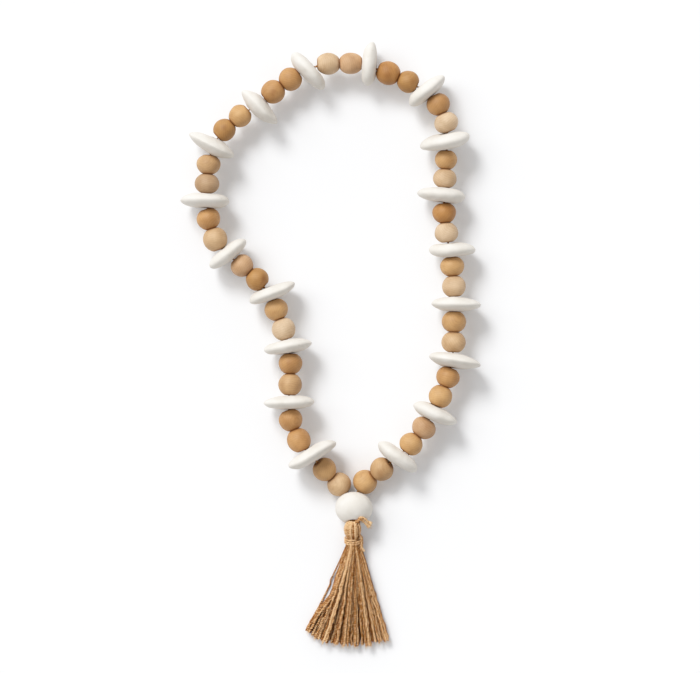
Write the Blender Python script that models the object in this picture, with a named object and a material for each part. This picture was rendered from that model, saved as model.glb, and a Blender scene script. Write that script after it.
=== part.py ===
"""A loop of wood beads and white discs on a jute string, with a jute tassel, lying on a flat surface.

Metres, +Z up. The loop lies flat and its discs stand on their rims, so the string runs level at half a
disc's height and sinks to the large bead. The origin is on the surface under the middle of the whole
piece, and +Y points from the tassel to the top of the loop. The string is followed clockwise: out of
the large bead, up the left side, over the top, down the right side and back into the large bead.
"""

import math
import random
from typing import NamedTuple

import bmesh
import bpy
from mathutils import Matrix, Vector

UP = Vector((0.0, 0.0, 1.0))
GAP = 0.0003  # between pieces that touch
FLAT_SPOT = 0.0004  # depth pressed off a round piece where it rests

WOOD_DIAMETER = 0.0202
WOOD_FLAT = 0.0090  # across the flat round each end of the bore
WOOD_BORE = 0.0065
WOOD_HALVES = (0.0070, 0.0095)  # least and most from a bead's middle to a flat
WOOD_GAP = 0.0005  # between two flats, where the string runs straight
WOOD_END = 0.0082  # from its middle to its flat, where a bead meets the large bead
WOOD_SEGMENTS = 12
WOOD_LATITUDES = 4  # bands between the flats round the bore
WOOD_REACH = 0.0115  # of string each way that sets a bead's axis

DISC_BORE = 0.0084
DISC_RIM_WIDTH = 0.0018
DISC_SEGMENTS = 16
DISC_SHARES = (0.5, 0.82)  # rings between the bore and the rim, as shares of the way out

LARGE_DIAMETER = 0.0312
LARGE_LENGTH = 0.0246
LARGE_BORE = 0.0092
LARGE_MOUTH = 0.0116  # the bore's ends are opened out to this
LARGE_FLAT = 0.0144  # across the flat round each mouth
LARGE_CHAMFER = 0.0012
LARGE_SEGMENTS = 20
LARGE_LATITUDES = (-43.0, -24.0, -6.0, 6.0, 24.0, 43.0)  # degrees, of its rings
LARGE_CENTRE = Vector((0.0199, -0.1402, 0.0154))
LARGE_TIP = math.radians(20.0)  # the tassel's side is tipped up

STRING_DIAMETER = 0.0020
STRING_HEIGHT = 0.0213
STRING_STEP = 0.0100
STRING_SIDES = 6
TAIL_DIAMETER = 0.0030
TAIL_STEPS = 6
KNOT_DIAMETER = 0.0046

LEFT_BEADS = (0.0367, 0.0173)  # from each wood bead before the first disc on to that disc


class Disc(NamedTuple):
    """A white disc, and the stretch of string that follows it."""

    x: float  # where the string crosses the disc
    y: float
    heading: float  # degrees in plan, from its outer rim to its inner rim
    outer: float  # reach from the string to the rim outside the loop
    inner: float  # and to the rim inside the loop
    thick: float  # at the bore
    lean: float  # degrees off upright
    edge: float  # how lens-like the faces are: 0.5 is an ellipse, 0.8 is nearly straight to the rim
    bow: float  # how far the string after it swings outwards from a straight run to the next disc
    first: float  # along the string to the first wood bead after it
    second: float  # and to the second


DISCS = (
    Disc(-0.0166, -0.0952, 27.0, 0.0217, 0.0243, 0.0120, 0.0, 0.60, 0.0053, 0.0166, 0.0356),
    Disc(-0.0354, -0.0502, 1.9, 0.0219, 0.0220, 0.0112, 0.0, 0.50, -0.0020, 0.0151, 0.0336),
    Disc(-0.0356, -0.0028, 8.7, 0.0213, 0.0209, 0.0110, 2.0, 0.65, -0.0016, 0.0155, 0.0335),
    Disc(-0.0525, 0.0418, 22.7, 0.0181, 0.0245, 0.0114, -2.0, 0.70, -0.0028, 0.0154, 0.0339),
    Disc(-0.0877, 0.0757, 37.4, 0.0188, 0.0205, 0.0122, 0.0, 0.60, 0.0060, 0.0166, 0.0351),
    Disc(-0.1043, 0.1211, -1.7, 0.0242, 0.0188, 0.0122, 3.0, 0.60, 0.0026, 0.0143, 0.0315),
    Disc(-0.0994, 0.1677, -27.1, 0.0238, 0.0201, 0.0140, -2.0, 0.60, 0.0040, 0.0162, 0.0350),
    Disc(-0.0621, 0.2026, -42.5, 0.0180, 0.0231, 0.0146, 0.0, 0.60, 0.0018, 0.0178, 0.0358),
    Disc(-0.0197, 0.2324, -48.8, 0.0192, 0.0217, 0.0128, 2.0, 0.55, 0.0050, 0.0188, 0.0378),
    Disc(0.0331, 0.2347, -97.3, 0.0222, 0.0159, 0.0120, -3.0, 0.60, 0.0022, 0.0171, 0.0361),
    Disc(0.0807, 0.2136, -140.3, 0.0217, 0.0177, 0.0126, 0.0, 0.65, 0.0072, 0.0152, 0.0329),
    Disc(0.0991, 0.1721, -166.4, 0.0202, 0.0240, 0.0130, 4.0, 0.55, -0.0001, 0.0157, 0.0324),
    Disc(0.0968, 0.1258, 174.4, 0.0183, 0.0235, 0.0122, -2.0, 0.60, -0.0018, 0.0143, 0.0326),
    Disc(0.1014, 0.0794, 180.0, 0.0221, 0.0178, 0.0116, 2.0, 0.65, 0.0015, 0.0137, 0.0312),
    Disc(0.1050, 0.0333, 178.3, 0.0234, 0.0196, 0.0120, 0.0, 0.70, 0.0007, 0.0150, 0.0325),
    Disc(0.1035, -0.0144, 169.5, 0.0251, 0.0201, 0.0122, -2.0, 0.70, 0.0019, 0.0142, 0.0324),
    Disc(0.0868, -0.0587, 157.0, 0.0232, 0.0179, 0.0122, 2.0, 0.55, 0.0032, 0.0144, 0.0331),
    Disc(0.0569, -0.0963, 143.9, 0.0208, 0.0202, 0.0128, 0.0, 0.65, 0.0, 0.0173, 0.0370),
)

# The string between the large bead and the loop's first and last discs: x, y, height.
LEFT_RUN = (
    (0.0079, -0.1206, 0.0106),
    (-0.0055, -0.1068, 0.0158),
)
RIGHT_RUN = (
    (0.0434, -0.1075, 0.0158),
    (0.0291, -0.1183, 0.0109),
)
RUN_APART = 0.0013  # of each string from the large bead's axis, inside its bore
RUN_SHARES = (-0.34, 0.1, 0.42)  # where they keep to it, in shares of the bead's length
KNOT_PLACE = Vector((0.0236, -0.1541, 0.0250))
KNOT_APART = 0.00115  # of each end from the knot's middle
TAIL_ROUTE = (
    (0.0236, -0.1541, 0.0250),
    (0.0247, -0.1506, 0.0298),
    (0.0277, -0.1512, 0.0276),
    (0.0303, -0.1535, 0.0236),
    (0.0332, -0.1556, 0.0204),
)


class HeadRow(NamedTuple):
    """A section across the tassel's head, from its top to the end of its neck."""

    x: float
    y: float
    height: float
    radius: float


HEAD_SEGMENTS = 16
HEAD_RIDGE = 0.03  # of the radius, in and out, where the yarns turn over the head
HEAD = (
    HeadRow(0.0190, -0.1549, 0.0196, 0.0026),
    HeadRow(0.0188, -0.1561, 0.0194, 0.0042),
    HeadRow(0.0185, -0.1583, 0.0184, 0.0060),
    HeadRow(0.0184, -0.1608, 0.0166, 0.0070),
    HeadRow(0.0186, -0.1638, 0.0143, 0.0067),
    HeadRow(0.0189, -0.1660, 0.0126, 0.0056),
    HeadRow(0.0191, -0.1673, 0.0116, 0.0050),
    HeadRow(0.0193, -0.1727, 0.0084, 0.0050),
    HeadRow(0.0195, -0.1745, 0.0077, 0.0070),
)
NECK_FIRST = 6  # the head's rows between which its wrap lies
NECK_LAST = 7

WRAP_TURNS = 5
WRAP_DIAMETER = 0.0128
WRAP_GROOVE = 0.0005
WRAP_SEGMENTS = 18
WRAP_TAIL = (
    (0.0247, -0.1719, 0.0124),
    (0.0267, -0.1738, 0.0122),
    (0.0291, -0.1778, 0.0107),
)
WRAP_TAIL_WIDTH = 0.0014

STRAND_PITCH = 0.00135  # between roots side by side
STRAND_ROW_PITCH = 0.0019  # between rows of roots, and each row lies down as a layer
STRAND_LAYERS = 5
LAYER_RISE = 0.0021
STRAND_ROOT_WIDTH = 0.00105
STRAND_WIDTH = 0.0018
STRAND_FLATNESS = 0.92  # thickness for each millimetre of width
STRAND_ROOT_DEPTH = 0.0012
STRAND_LENGTH = 0.0818
STRAND_TOUCHDOWN = 0.46  # of its length, where a strand meets the surface or the strands under it
STRAND_DROP_STEPS = 3  # rings from the root to there
STRAND_LEVEL_STEPS = 2  # and from there to its end
FAN_LEFT = -27.0  # degrees from straight down the page, of the outermost strand
FAN_RIGHT = 17.6
FAN_SWEEP = 0.80  # a strand to the left starts at this share of its angle and swings out to it
LEFT_SHORT = 0.0045  # by how much the leftmost strands are shorter
LEFT_FADE = 6  # the power by which that fades towards the right
UNEVEN = (-0.0012, 0.0006)  # in the strands' lengths
LOOK_AHEAD = 0.05  # of a strand's length, to read the way it lies
SEED = 11

WOOD = ("wood", (0.62, 0.42, 0.25), 0.55)
WHITE = ("white", (0.86, 0.84, 0.80), 0.75)
JUTE = ("jute", (0.50, 0.34, 0.18), 0.90)


def clear_scene():
    """Remove whatever the scene holds at the start."""
    for thing in list(bpy.data.objects):
        bpy.data.objects.remove(thing, do_unlink=True)


def finish_of(look):
    """The material of a (name, colour, roughness), made once."""
    name, colour, roughness = look
    material = bpy.data.materials.get(name)
    if material is None:
        material = bpy.data.materials.new(name)
        material.use_nodes = True
        shader = material.node_tree.nodes["Principled BSDF"]
        shader.inputs["Base Color"].default_value = (*colour, 1.0)
        shader.inputs["Roughness"].default_value = roughness
        shader.inputs["Metallic"].default_value = 0.0
    return material


def object_from(bm, name, look, helper=False):
    """Turn a bmesh into a named object; a helper stays out of the model."""
    bmesh.ops.recalc_face_normals(bm, faces=bm.faces)
    mesh = bpy.data.meshes.new(name)
    bm.to_mesh(mesh)
    bm.free()
    mesh.shade_smooth()
    mesh.set_sharp_from_angle(angle=math.radians(35.0))
    mesh.materials.append(finish_of(look))
    thing = bpy.data.objects.new(name, mesh)
    bpy.context.scene.collection.objects.link(thing)
    if helper:
        thing.hide_render = True
        thing.display_type = "WIRE"
    return thing


def join_on(thing, other):
    """Fuse a helper into an object."""
    union = thing.modifiers.new(other.name, "BOOLEAN")
    union.operation = "UNION"
    union.solver = "EXACT"
    union.object = other


def frame_on(centre, side, along):
    """A placing matrix: +Z along the string, +X out of the loop and +Y as near upwards as that leaves."""
    z = along.normalized()
    y = (UP - UP.dot(z) * z).normalized() if side is None else z.cross(side).normalized()
    x = y.cross(z)
    return Matrix.Translation(centre) @ Matrix((x, y, z)).transposed().to_4x4()


def spun(profile, segments, first_angle=0.0):
    """A bmesh turned about +Z from a closed profile of (radius, height) points."""
    bm = bmesh.new()
    turn = Matrix.Rotation(first_angle, 3, "Z")
    verts = [bm.verts.new(turn @ Vector((radius, 0.0, height))) for radius, height in profile]
    edges = [bm.edges.new(pair) for pair in zip(verts, verts[1:] + verts[:1])]
    bmesh.ops.spin(
        bm,
        geom=verts + edges,
        cent=(0.0, 0.0, 0.0),
        axis=(0.0, 0.0, 1.0),
        angle=math.tau,
        steps=segments,
        use_merge=True,
        use_duplicate=False,
    )
    return bm


def lofted(bm, rings):
    """Add a closed body to a bmesh: a face on the first ring is extruded from ring to ring."""
    first = bm.faces.new([bm.verts.new(point) for point in rings[0]])
    face = first
    for ring in rings[1:]:
        made = bmesh.ops.extrude_face_region(bm, geom=[face])["geom"]
        if face is not first:
            bm.faces.remove(face)
        face = next(item for item in made if isinstance(item, bmesh.types.BMFace))
        for vert, point in zip(face.verts, ring):
            vert.co = point


def rings_along(points, radii, sides, first_angle=0.0, flatness=1.0):
    """Rings of points round a path, each square to the path, kept upright and flattened if asked."""
    rings = []
    for index, (point, radius) in enumerate(zip(points, radii)):
        before = points[max(index - 1, 0)]
        after = points[min(index + 1, len(points) - 1)]
        along = (after - before).normalized()
        side = along.cross(UP).normalized()
        over = flatness * side.cross(along)
        angles = [first_angle + math.tau * step / sides for step in range(sides)]
        rings.append([point + radius * (math.cos(a) * side + math.sin(a) * over) for a in angles])
    return rings


def rest_on_surface(bm):
    """Press a small flat spot where a round piece meets the surface."""
    lowest = min(vert.co.z for vert in bm.verts)
    for vert in bm.verts:
        if vert.co.z - lowest < FLAT_SPOT:
            vert.co.z = 0.0


class Route:
    """A smooth curve through points, read by the distance along it."""

    STEPS = 12

    def __init__(self, points):
        self.places = [points[0]]
        reach = [(b - a).length for a, b in zip(points, points[1:])]
        slopes = [(points[1] - points[0]) / reach[0]]
        for i in range(1, len(points) - 1):
            back = (points[i] - points[i - 1]) / reach[i - 1]
            on = (points[i + 1] - points[i]) / reach[i]
            slopes.append((back * reach[i] + on * reach[i - 1]) / (reach[i] + reach[i - 1]))
        slopes.append((points[-1] - points[-2]) / reach[-1])
        for i, span in enumerate(reach):
            for step in range(1, self.STEPS + 1):
                t = step / self.STEPS
                self.places.append(
                    (2 * t**3 - 3 * t**2 + 1) * points[i]
                    + (t**3 - 2 * t**2 + t) * span * slopes[i]
                    + (3 * t**2 - 2 * t**3) * points[i + 1]
                    + (t**3 - t**2) * span * slopes[i + 1]
                )
        self.distances = [0.0]
        for a, b in zip(self.places, self.places[1:]):
            self.distances.append(self.distances[-1] + (b - a).length)
        self.length = self.distances[-1]

    def distance_of(self, point_number):
        """How far along the route one of the points it was made from lies."""
        return self.distances[point_number * self.STEPS]

    def place(self, distance):
        """The point that far along."""
        for i in range(1, len(self.distances)):
            if self.distances[i] >= distance or i == len(self.distances) - 1:
                span = self.distances[i] - self.distances[i - 1]
                share = (distance - self.distances[i - 1]) / span
                return self.places[i - 1].lerp(self.places[i], share)
        return self.places[-1]

    def direction(self, distance, reach=WOOD_REACH):
        """The way the route runs there."""
        return (self.place(distance + reach) - self.place(distance - reach)).normalized()


def large_bead_axis():
    """The way the large bead's bore runs, from the loop to the tassel."""
    return Vector((0.0, -math.cos(LARGE_TIP), math.sin(LARGE_TIP)))


def run_in_large_bead(side):
    """Where a string passes the large bead's two mouths, from the loop's to the tassel's."""
    axis = large_bead_axis()
    apart = Vector((side * RUN_APART, 0.0, 0.0))
    return [LARGE_CENTRE + apart + axis * share * LARGE_LENGTH for share in RUN_SHARES]


def string_route():
    """The string's route, from the knot round the loop to the knot, and the first disc's point number."""
    end_apart = Vector((KNOT_APART, 0.0, 0.0))
    points = [KNOT_PLACE - end_apart, *reversed(run_in_large_bead(-1))]
    points += [Vector(place) for place in LEFT_RUN]
    first_disc = len(points)
    for here, following in zip(DISCS, DISCS[1:] + (None,)):
        place = Vector((here.x, here.y, STRING_HEIGHT))
        points.append(place)
        if following is not None:
            after = Vector((following.x, following.y, STRING_HEIGHT))
            outwards = UP.cross(after - place).normalized()
            points.append((place + after) / 2 + here.bow * outwards)
    points += [Vector(place) for place in RIGHT_RUN]
    points += [*run_in_large_bead(1), KNOT_PLACE + end_apart]
    return Route(points), first_disc


def disc_axis(disc):
    """The way a disc's bore runs, along the string, and the way out of the loop."""
    heading = math.radians(disc.heading)
    outwards = Vector((-math.cos(heading), -math.sin(heading), 0.0))
    return Matrix.Rotation(math.radians(disc.lean), 3, outwards) @ outwards.cross(UP), outwards


def wood_beads(route, first_disc):
    """The wood beads in their order: how far along the string each lies, and from there to its flats.

    A bead reaches as far as its neighbours leave room for, so each has its own length.
    """
    stops = []
    for number, disc in enumerate(DISCS):
        distance = route.distance_of(first_disc + 2 * number)
        before = LEFT_BEADS if number == 0 else ()
        stops += [(distance - away, None) for away in before]
        stops.append((distance, disc))
        stops += [(distance + away, None) for away in (disc.first, disc.second)]

    def room(stop, other):
        """From a bead's middle to the flat that faces this neighbour, with its edge kept clear as well."""
        apart = route.place(other[0]) - route.place(stop[0])
        way = route.direction(stop[0])
        if other[1]:
            facing = disc_axis(other[1])[0]
            turned = way.angle(facing)
            away = abs(apart.dot(facing)) - other[1].thick / 2 - WOOD_GAP
        else:
            turned = way.angle(route.direction(other[0])) / 2
            away = (apart.length - WOOD_GAP) / 2
        half = (away - WOOD_FLAT / 2 * math.sin(turned)) / math.cos(turned)
        return min(max(half, WOOD_HALVES[0]), WOOD_HALVES[1])

    beads = []
    for index, stop in enumerate(stops):
        if stop[1] is None:
            back = room(stop, stops[index - 1]) if index > 0 else WOOD_END
            on = room(stop, stops[index + 1]) if index < len(stops) - 1 else WOOD_END
            beads.append((stop[0], back, on))
    return beads


def make_wood_bead(name, route, distance, back, on):
    """A turned wood bead, a slightly flattened ball with a flat at each end of its bore."""
    ball = WOOD_DIAMETER / 2
    top = math.acos(WOOD_FLAT / WOOD_DIAMETER)
    profile = []
    for step in range(WOOD_LATITUDES + 1):
        angle = -top + 2 * top * step / WOOD_LATITUDES
        reach = (back if angle < 0 else on) / math.sin(top)
        profile.append((ball * math.cos(angle), reach * math.sin(angle)))
    profile += [(WOOD_BORE / 2, on), (WOOD_BORE / 2, -back)]
    bm = spun(profile, WOOD_SEGMENTS)
    bmesh.ops.transform(
        bm, verts=bm.verts, matrix=frame_on(route.place(distance), None, route.direction(distance))
    )
    object_from(bm, name, WOOD)


def make_disc(name, disc):
    """A hand-shaped white disc standing on its rim, bored off its middle, with lens-like faces."""
    half = disc.thick / 2
    shares = (0.0, *DISC_SHARES, 1.0)
    heights = [half * (1 - share**2) ** disc.edge for share in shares[:-1]] + [DISC_RIM_WIDTH / 2]
    upper = list(zip(shares, heights))
    profile = [(1 + share, height) for share, height in upper]
    profile += [(1 + share, -height) for share, height in reversed(upper)]
    bm = spun(profile, DISC_SEGMENTS, first_angle=math.pi / DISC_SEGMENTS)

    rim = (disc.outer + disc.inner) / 2
    middle = Vector(((disc.outer - disc.inner) / 2, rim * math.cos(math.pi / DISC_SEGMENTS) - STRING_HEIGHT))
    for vert in bm.verts:
        way = vert.co.xy.normalized()
        share = vert.co.xy.length - 1
        vert.co.xy = (way * DISC_BORE / 2).lerp(middle + way * rim, share)
    along, outwards = disc_axis(disc)
    place = frame_on(Vector((disc.x, disc.y, STRING_HEIGHT)), outwards, along)
    bmesh.ops.transform(bm, verts=bm.verts, matrix=place)
    rest_on_surface(bm)
    object_from(bm, name, WHITE)


def make_large_bead():
    """The white bead that both ends of the string pass through, tipped up towards the tassel."""
    half = LARGE_LENGTH / 2
    radius = LARGE_DIAMETER / 2
    top = math.acos(LARGE_FLAT / LARGE_DIAMETER)
    reach = half / math.sin(top)
    angles = [math.radians(latitude) for latitude in LARGE_LATITUDES]
    profile = [(radius * math.cos(a), reach * math.sin(a)) for a in (-top, *angles, top)]
    profile += [(LARGE_MOUTH / 2, half), (LARGE_BORE / 2, half - LARGE_CHAMFER)]
    profile += [(LARGE_BORE / 2, LARGE_CHAMFER - half), (LARGE_MOUTH / 2, -half)]
    bm = spun(profile, LARGE_SEGMENTS, first_angle=math.pi / LARGE_SEGMENTS)
    bmesh.ops.transform(bm, verts=bm.verts, matrix=frame_on(LARGE_CENTRE, None, large_bead_axis()))
    rest_on_surface(bm)
    object_from(bm, "large_bead", WHITE)


def make_string(route):
    """The jute string through every bead, its two ends fused in a knot that leaves one short tail."""
    count = round(route.length / STRING_STEP)
    points = [route.place(route.length * step / count) for step in range(count + 1)]
    bm = bmesh.new()
    lofted(bm, rings_along(points, [STRING_DIAMETER / 2] * len(points), STRING_SIDES))
    string = object_from(bm, "string", JUTE)

    bm = bmesh.new()
    bmesh.ops.create_icosphere(bm, subdivisions=1, radius=KNOT_DIAMETER / 2)
    bmesh.ops.translate(bm, verts=bm.verts, vec=KNOT_PLACE)
    join_on(string, object_from(bm, "knot_helper", JUTE, helper=True))

    tail = Route([Vector(place) for place in TAIL_ROUTE])
    points = [tail.place(tail.length * step / TAIL_STEPS) for step in range(TAIL_STEPS + 1)]
    bm = bmesh.new()
    lofted(bm, rings_along(points, [TAIL_DIAMETER / 2] * len(points), STRING_SIDES))
    join_on(string, object_from(bm, "tail_helper", JUTE, helper=True))


def head_point(row):
    """The middle of a section of the tassel's head."""
    return Vector((row.x, row.y, row.height))


def neck_frame():
    """A frame at the middle of the tassel's neck, with +Z down the tassel."""
    start, end = head_point(HEAD[NECK_FIRST]), head_point(HEAD[NECK_LAST])
    return frame_on((start + end) / 2, None, end - start), (end - start).length


def make_neck_wrap():
    """The finer twine wound round the tassel's neck, turn beside turn, with one short end."""
    frame, length = neck_frame()
    half = length / 2 - 2 * GAP
    inner = (HEAD[NECK_FIRST].radius * (1 + HEAD_RIDGE) + GAP) / math.cos(math.pi / WRAP_SEGMENTS)
    profile = [(inner, -half)]
    for step in range(2 * WRAP_TURNS + 1):
        height = -half + 2 * half * step / (2 * WRAP_TURNS)
        groove = WRAP_GROOVE if step % 2 == 0 else 0.0
        profile.append((WRAP_DIAMETER / 2 - groove, height))
    profile.append((inner, half))
    bm = spun(profile, WRAP_SEGMENTS)
    bmesh.ops.transform(bm, verts=bm.verts, matrix=frame)
    wrap = object_from(bm, "neck_wrap", JUTE)

    points = [Vector(place) for place in WRAP_TAIL]
    bm = bmesh.new()
    lofted(bm, rings_along(points, [WRAP_TAIL_WIDTH / 2] * len(points), 4, math.pi / 4))
    join_on(wrap, object_from(bm, "wrap_tail_helper", JUTE, helper=True))


def strand_roots():
    """Where strands leave the neck, from left to right: how far across and over its middle, and layer."""
    reach = HEAD[-1].radius - STRAND_ROOT_WIDTH
    roots = []
    for layer in range(STRAND_LAYERS):
        height = (layer - (STRAND_LAYERS - 1) / 2) * STRAND_ROW_PITCH
        half = math.sqrt(reach**2 - height**2)
        shift = (layer / STRAND_LAYERS - 0.5) * STRAND_PITCH
        count = math.ceil(half / STRAND_PITCH)
        places = [number * STRAND_PITCH + shift for number in range(-count, count + 1)]
        roots += [(across, height, layer) for across in places if abs(across) <= half]
    return sorted(roots)


def strand_width(part):
    """A strand's width at a share of its length."""
    return STRAND_ROOT_WIDTH + (STRAND_WIDTH - STRAND_ROOT_WIDTH) * part


def strand_points(root, down, share, layer, length):
    """The middle line of one strand, from its root to where it lies level, and its widths there."""
    angle = math.radians(FAN_LEFT + (FAN_RIGHT - FAN_LEFT) * share)
    sweep = FAN_SWEEP if angle < 0 else 1.0

    def on_surface(part):
        """The point at a share of the strand's length, level on what lies under it."""
        turned = angle * (sweep + (1 - sweep) * part)
        away = length * part
        height = layer * LAYER_RISE + strand_width(part) * STRAND_FLATNESS / 2
        return Vector((root.x + away * math.sin(turned), root.y - away * math.cos(turned), height))

    touch, after = on_surface(STRAND_TOUCHDOWN), on_surface(STRAND_TOUCHDOWN + LOOK_AHEAD)
    pull = (touch - root).length / 3
    leave = root + (down + Vector((math.tan(angle * sweep), 0.0, 0.0))).normalized() * pull
    arrive = touch - (after - touch).normalized() * pull
    points = [root - down * STRAND_ROOT_DEPTH]
    parts = [0.0]
    for step in range(STRAND_DROP_STEPS):
        t = step / STRAND_DROP_STEPS
        points.append(
            (1 - t) ** 3 * root + 3 * (1 - t) ** 2 * t * leave + 3 * (1 - t) * t**2 * arrive + t**3 * touch
        )
        parts.append(t * STRAND_TOUCHDOWN)
    for step in range(STRAND_LEVEL_STEPS + 1):
        parts.append(STRAND_TOUCHDOWN + (1 - STRAND_TOUCHDOWN) * step / STRAND_LEVEL_STEPS)
        points.append(on_surface(parts[-1]))
    return points, [strand_width(part) for part in parts]


def make_tassel():
    """The tassel: its ridged head and neck, with the strands that hang from it fanned out level."""
    middles = [head_point(row) for row in HEAD]
    rings = rings_along(middles, [row.radius for row in HEAD], HEAD_SEGMENTS)
    for ring, middle in zip(rings, middles):
        for number, point in enumerate(ring):
            ridge = HEAD_RIDGE if number % 2 else -HEAD_RIDGE
            point += (point - middle) * ridge
    bm = bmesh.new()
    lofted(bm, rings)
    tassel = object_from(bm, "tassel", JUTE)

    end = middles[-1]
    down = (end - middles[-2]).normalized()
    side = Vector((1.0, 0.0, 0.0))
    over = down.cross(side).normalized()
    chance = random.Random(SEED)
    bm = bmesh.new()
    roots = strand_roots()
    for number, (across, height, layer) in enumerate(roots):
        share = (number + 0.5) / len(roots)
        root = end + side * across + over * height
        length = STRAND_LENGTH - LEFT_SHORT * (1 - share) ** LEFT_FADE + chance.uniform(*UNEVEN)
        points, widths = strand_points(root, down, share, layer, length)
        radii = [width / math.sqrt(2) for width in widths]
        lofted(bm, rings_along(points, radii, 4, math.pi / 4, STRAND_FLATNESS))
    for vert in bm.verts:
        if vert.co.z < FLAT_SPOT:
            vert.co.z = 0.0
    join_on(tassel, object_from(bm, "strands_helper", JUTE, helper=True))


def main():
    """Make every piece."""
    clear_scene()
    route, first_disc = string_route()
    for number, bead in enumerate(wood_beads(route, first_disc), start=1):
        make_wood_bead(f"wood_bead_{number:02d}", route, *bead)
    for number, disc in enumerate(DISCS, start=1):
        make_disc(f"disc_{number:02d}", disc)
    make_large_bead()
    make_string(route)
    make_neck_wrap()
    make_tassel()


main()
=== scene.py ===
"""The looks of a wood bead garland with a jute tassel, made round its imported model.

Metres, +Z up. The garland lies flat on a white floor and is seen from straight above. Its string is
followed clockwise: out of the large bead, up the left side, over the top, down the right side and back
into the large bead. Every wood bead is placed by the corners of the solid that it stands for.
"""

import logging
import math
import random
from dataclasses import dataclass
from enum import Enum
from typing import NamedTuple

import bmesh
import bpy
import numpy as np
from mathutils import Matrix, Vector, noise


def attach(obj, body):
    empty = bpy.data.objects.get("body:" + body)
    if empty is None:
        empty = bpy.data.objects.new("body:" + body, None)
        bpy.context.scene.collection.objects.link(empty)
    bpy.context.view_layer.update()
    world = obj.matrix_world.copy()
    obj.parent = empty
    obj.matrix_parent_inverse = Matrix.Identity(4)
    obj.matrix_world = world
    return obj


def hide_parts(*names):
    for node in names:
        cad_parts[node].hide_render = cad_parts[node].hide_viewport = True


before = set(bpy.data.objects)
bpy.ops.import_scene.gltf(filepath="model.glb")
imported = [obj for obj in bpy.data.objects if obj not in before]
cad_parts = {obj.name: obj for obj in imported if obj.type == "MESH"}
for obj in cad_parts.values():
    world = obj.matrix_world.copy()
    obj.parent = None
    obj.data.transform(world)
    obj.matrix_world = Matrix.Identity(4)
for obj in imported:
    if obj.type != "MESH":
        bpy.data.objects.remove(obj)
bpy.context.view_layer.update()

LOG = logging.getLogger("garland")
Pair = tuple[float, float]
Triple = tuple[float, float, float]
Stops = tuple[Pair, ...]  # places from 0 to 1, each with its value

UP = Vector((0.0, 0.0, 1.0))
BODY = "root"

PIXEL = 0.00085  # of the photograph, on the garland
PICTURE_WIDTH = 700
STRING_HEIGHT = 0.0213
KNOT = Vector((0.0233, -0.1512, 0.0236))
ON_EDGE = 2e-6  # metres within which a corner counts as on an edge
ON_RIM = 1e-5  # metres within which a solid's corner counts as at its widest place


# Shader maths


def linear(red: int, green: int, blue: int) -> Triple:
    """Turn a colour as a screen shows it, 0 to 255, into the light that it stands for."""
    shares = (red / 255, green / 255, blue / 255)
    return tuple(s / 12.92 if s <= 0.04045 else ((s + 0.055) / 1.055) ** 2.4 for s in shares)


class Socket:
    """An output of a shader node, which Python's operators extend with Math nodes."""

    def __init__(self, tree: "ShaderTree", output: bpy.types.NodeSocket) -> None:
        """Keep the tree and the output."""
        self.tree = tree
        self.output = output

    def _maths(self, operation: str, *values: object) -> "Socket":
        """Add a Math node on these values."""
        return self.tree.node("ShaderNodeMath", dict(enumerate(values)), operation=operation)

    def __add__(self, other: object) -> "Socket":
        """Add."""
        return self._maths("ADD", self, other)

    def __sub__(self, other: object) -> "Socket":
        """Subtract."""
        return self._maths("SUBTRACT", self, other)

    def __mul__(self, other: object) -> "Socket":
        """Multiply."""
        return self._maths("MULTIPLY", self, other)

    def __truediv__(self, other: object) -> "Socket":
        """Divide."""
        return self._maths("DIVIDE", self, other)

    def remainder(self) -> "Socket":
        """What is left past the last whole number."""
        return self._maths("FRACT", self)

    def limited(self) -> "Socket":
        """The value kept from 0 to 1."""
        return self.tree.node("ShaderNodeClamp", {"Value": self})

    __radd__ = __add__


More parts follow.
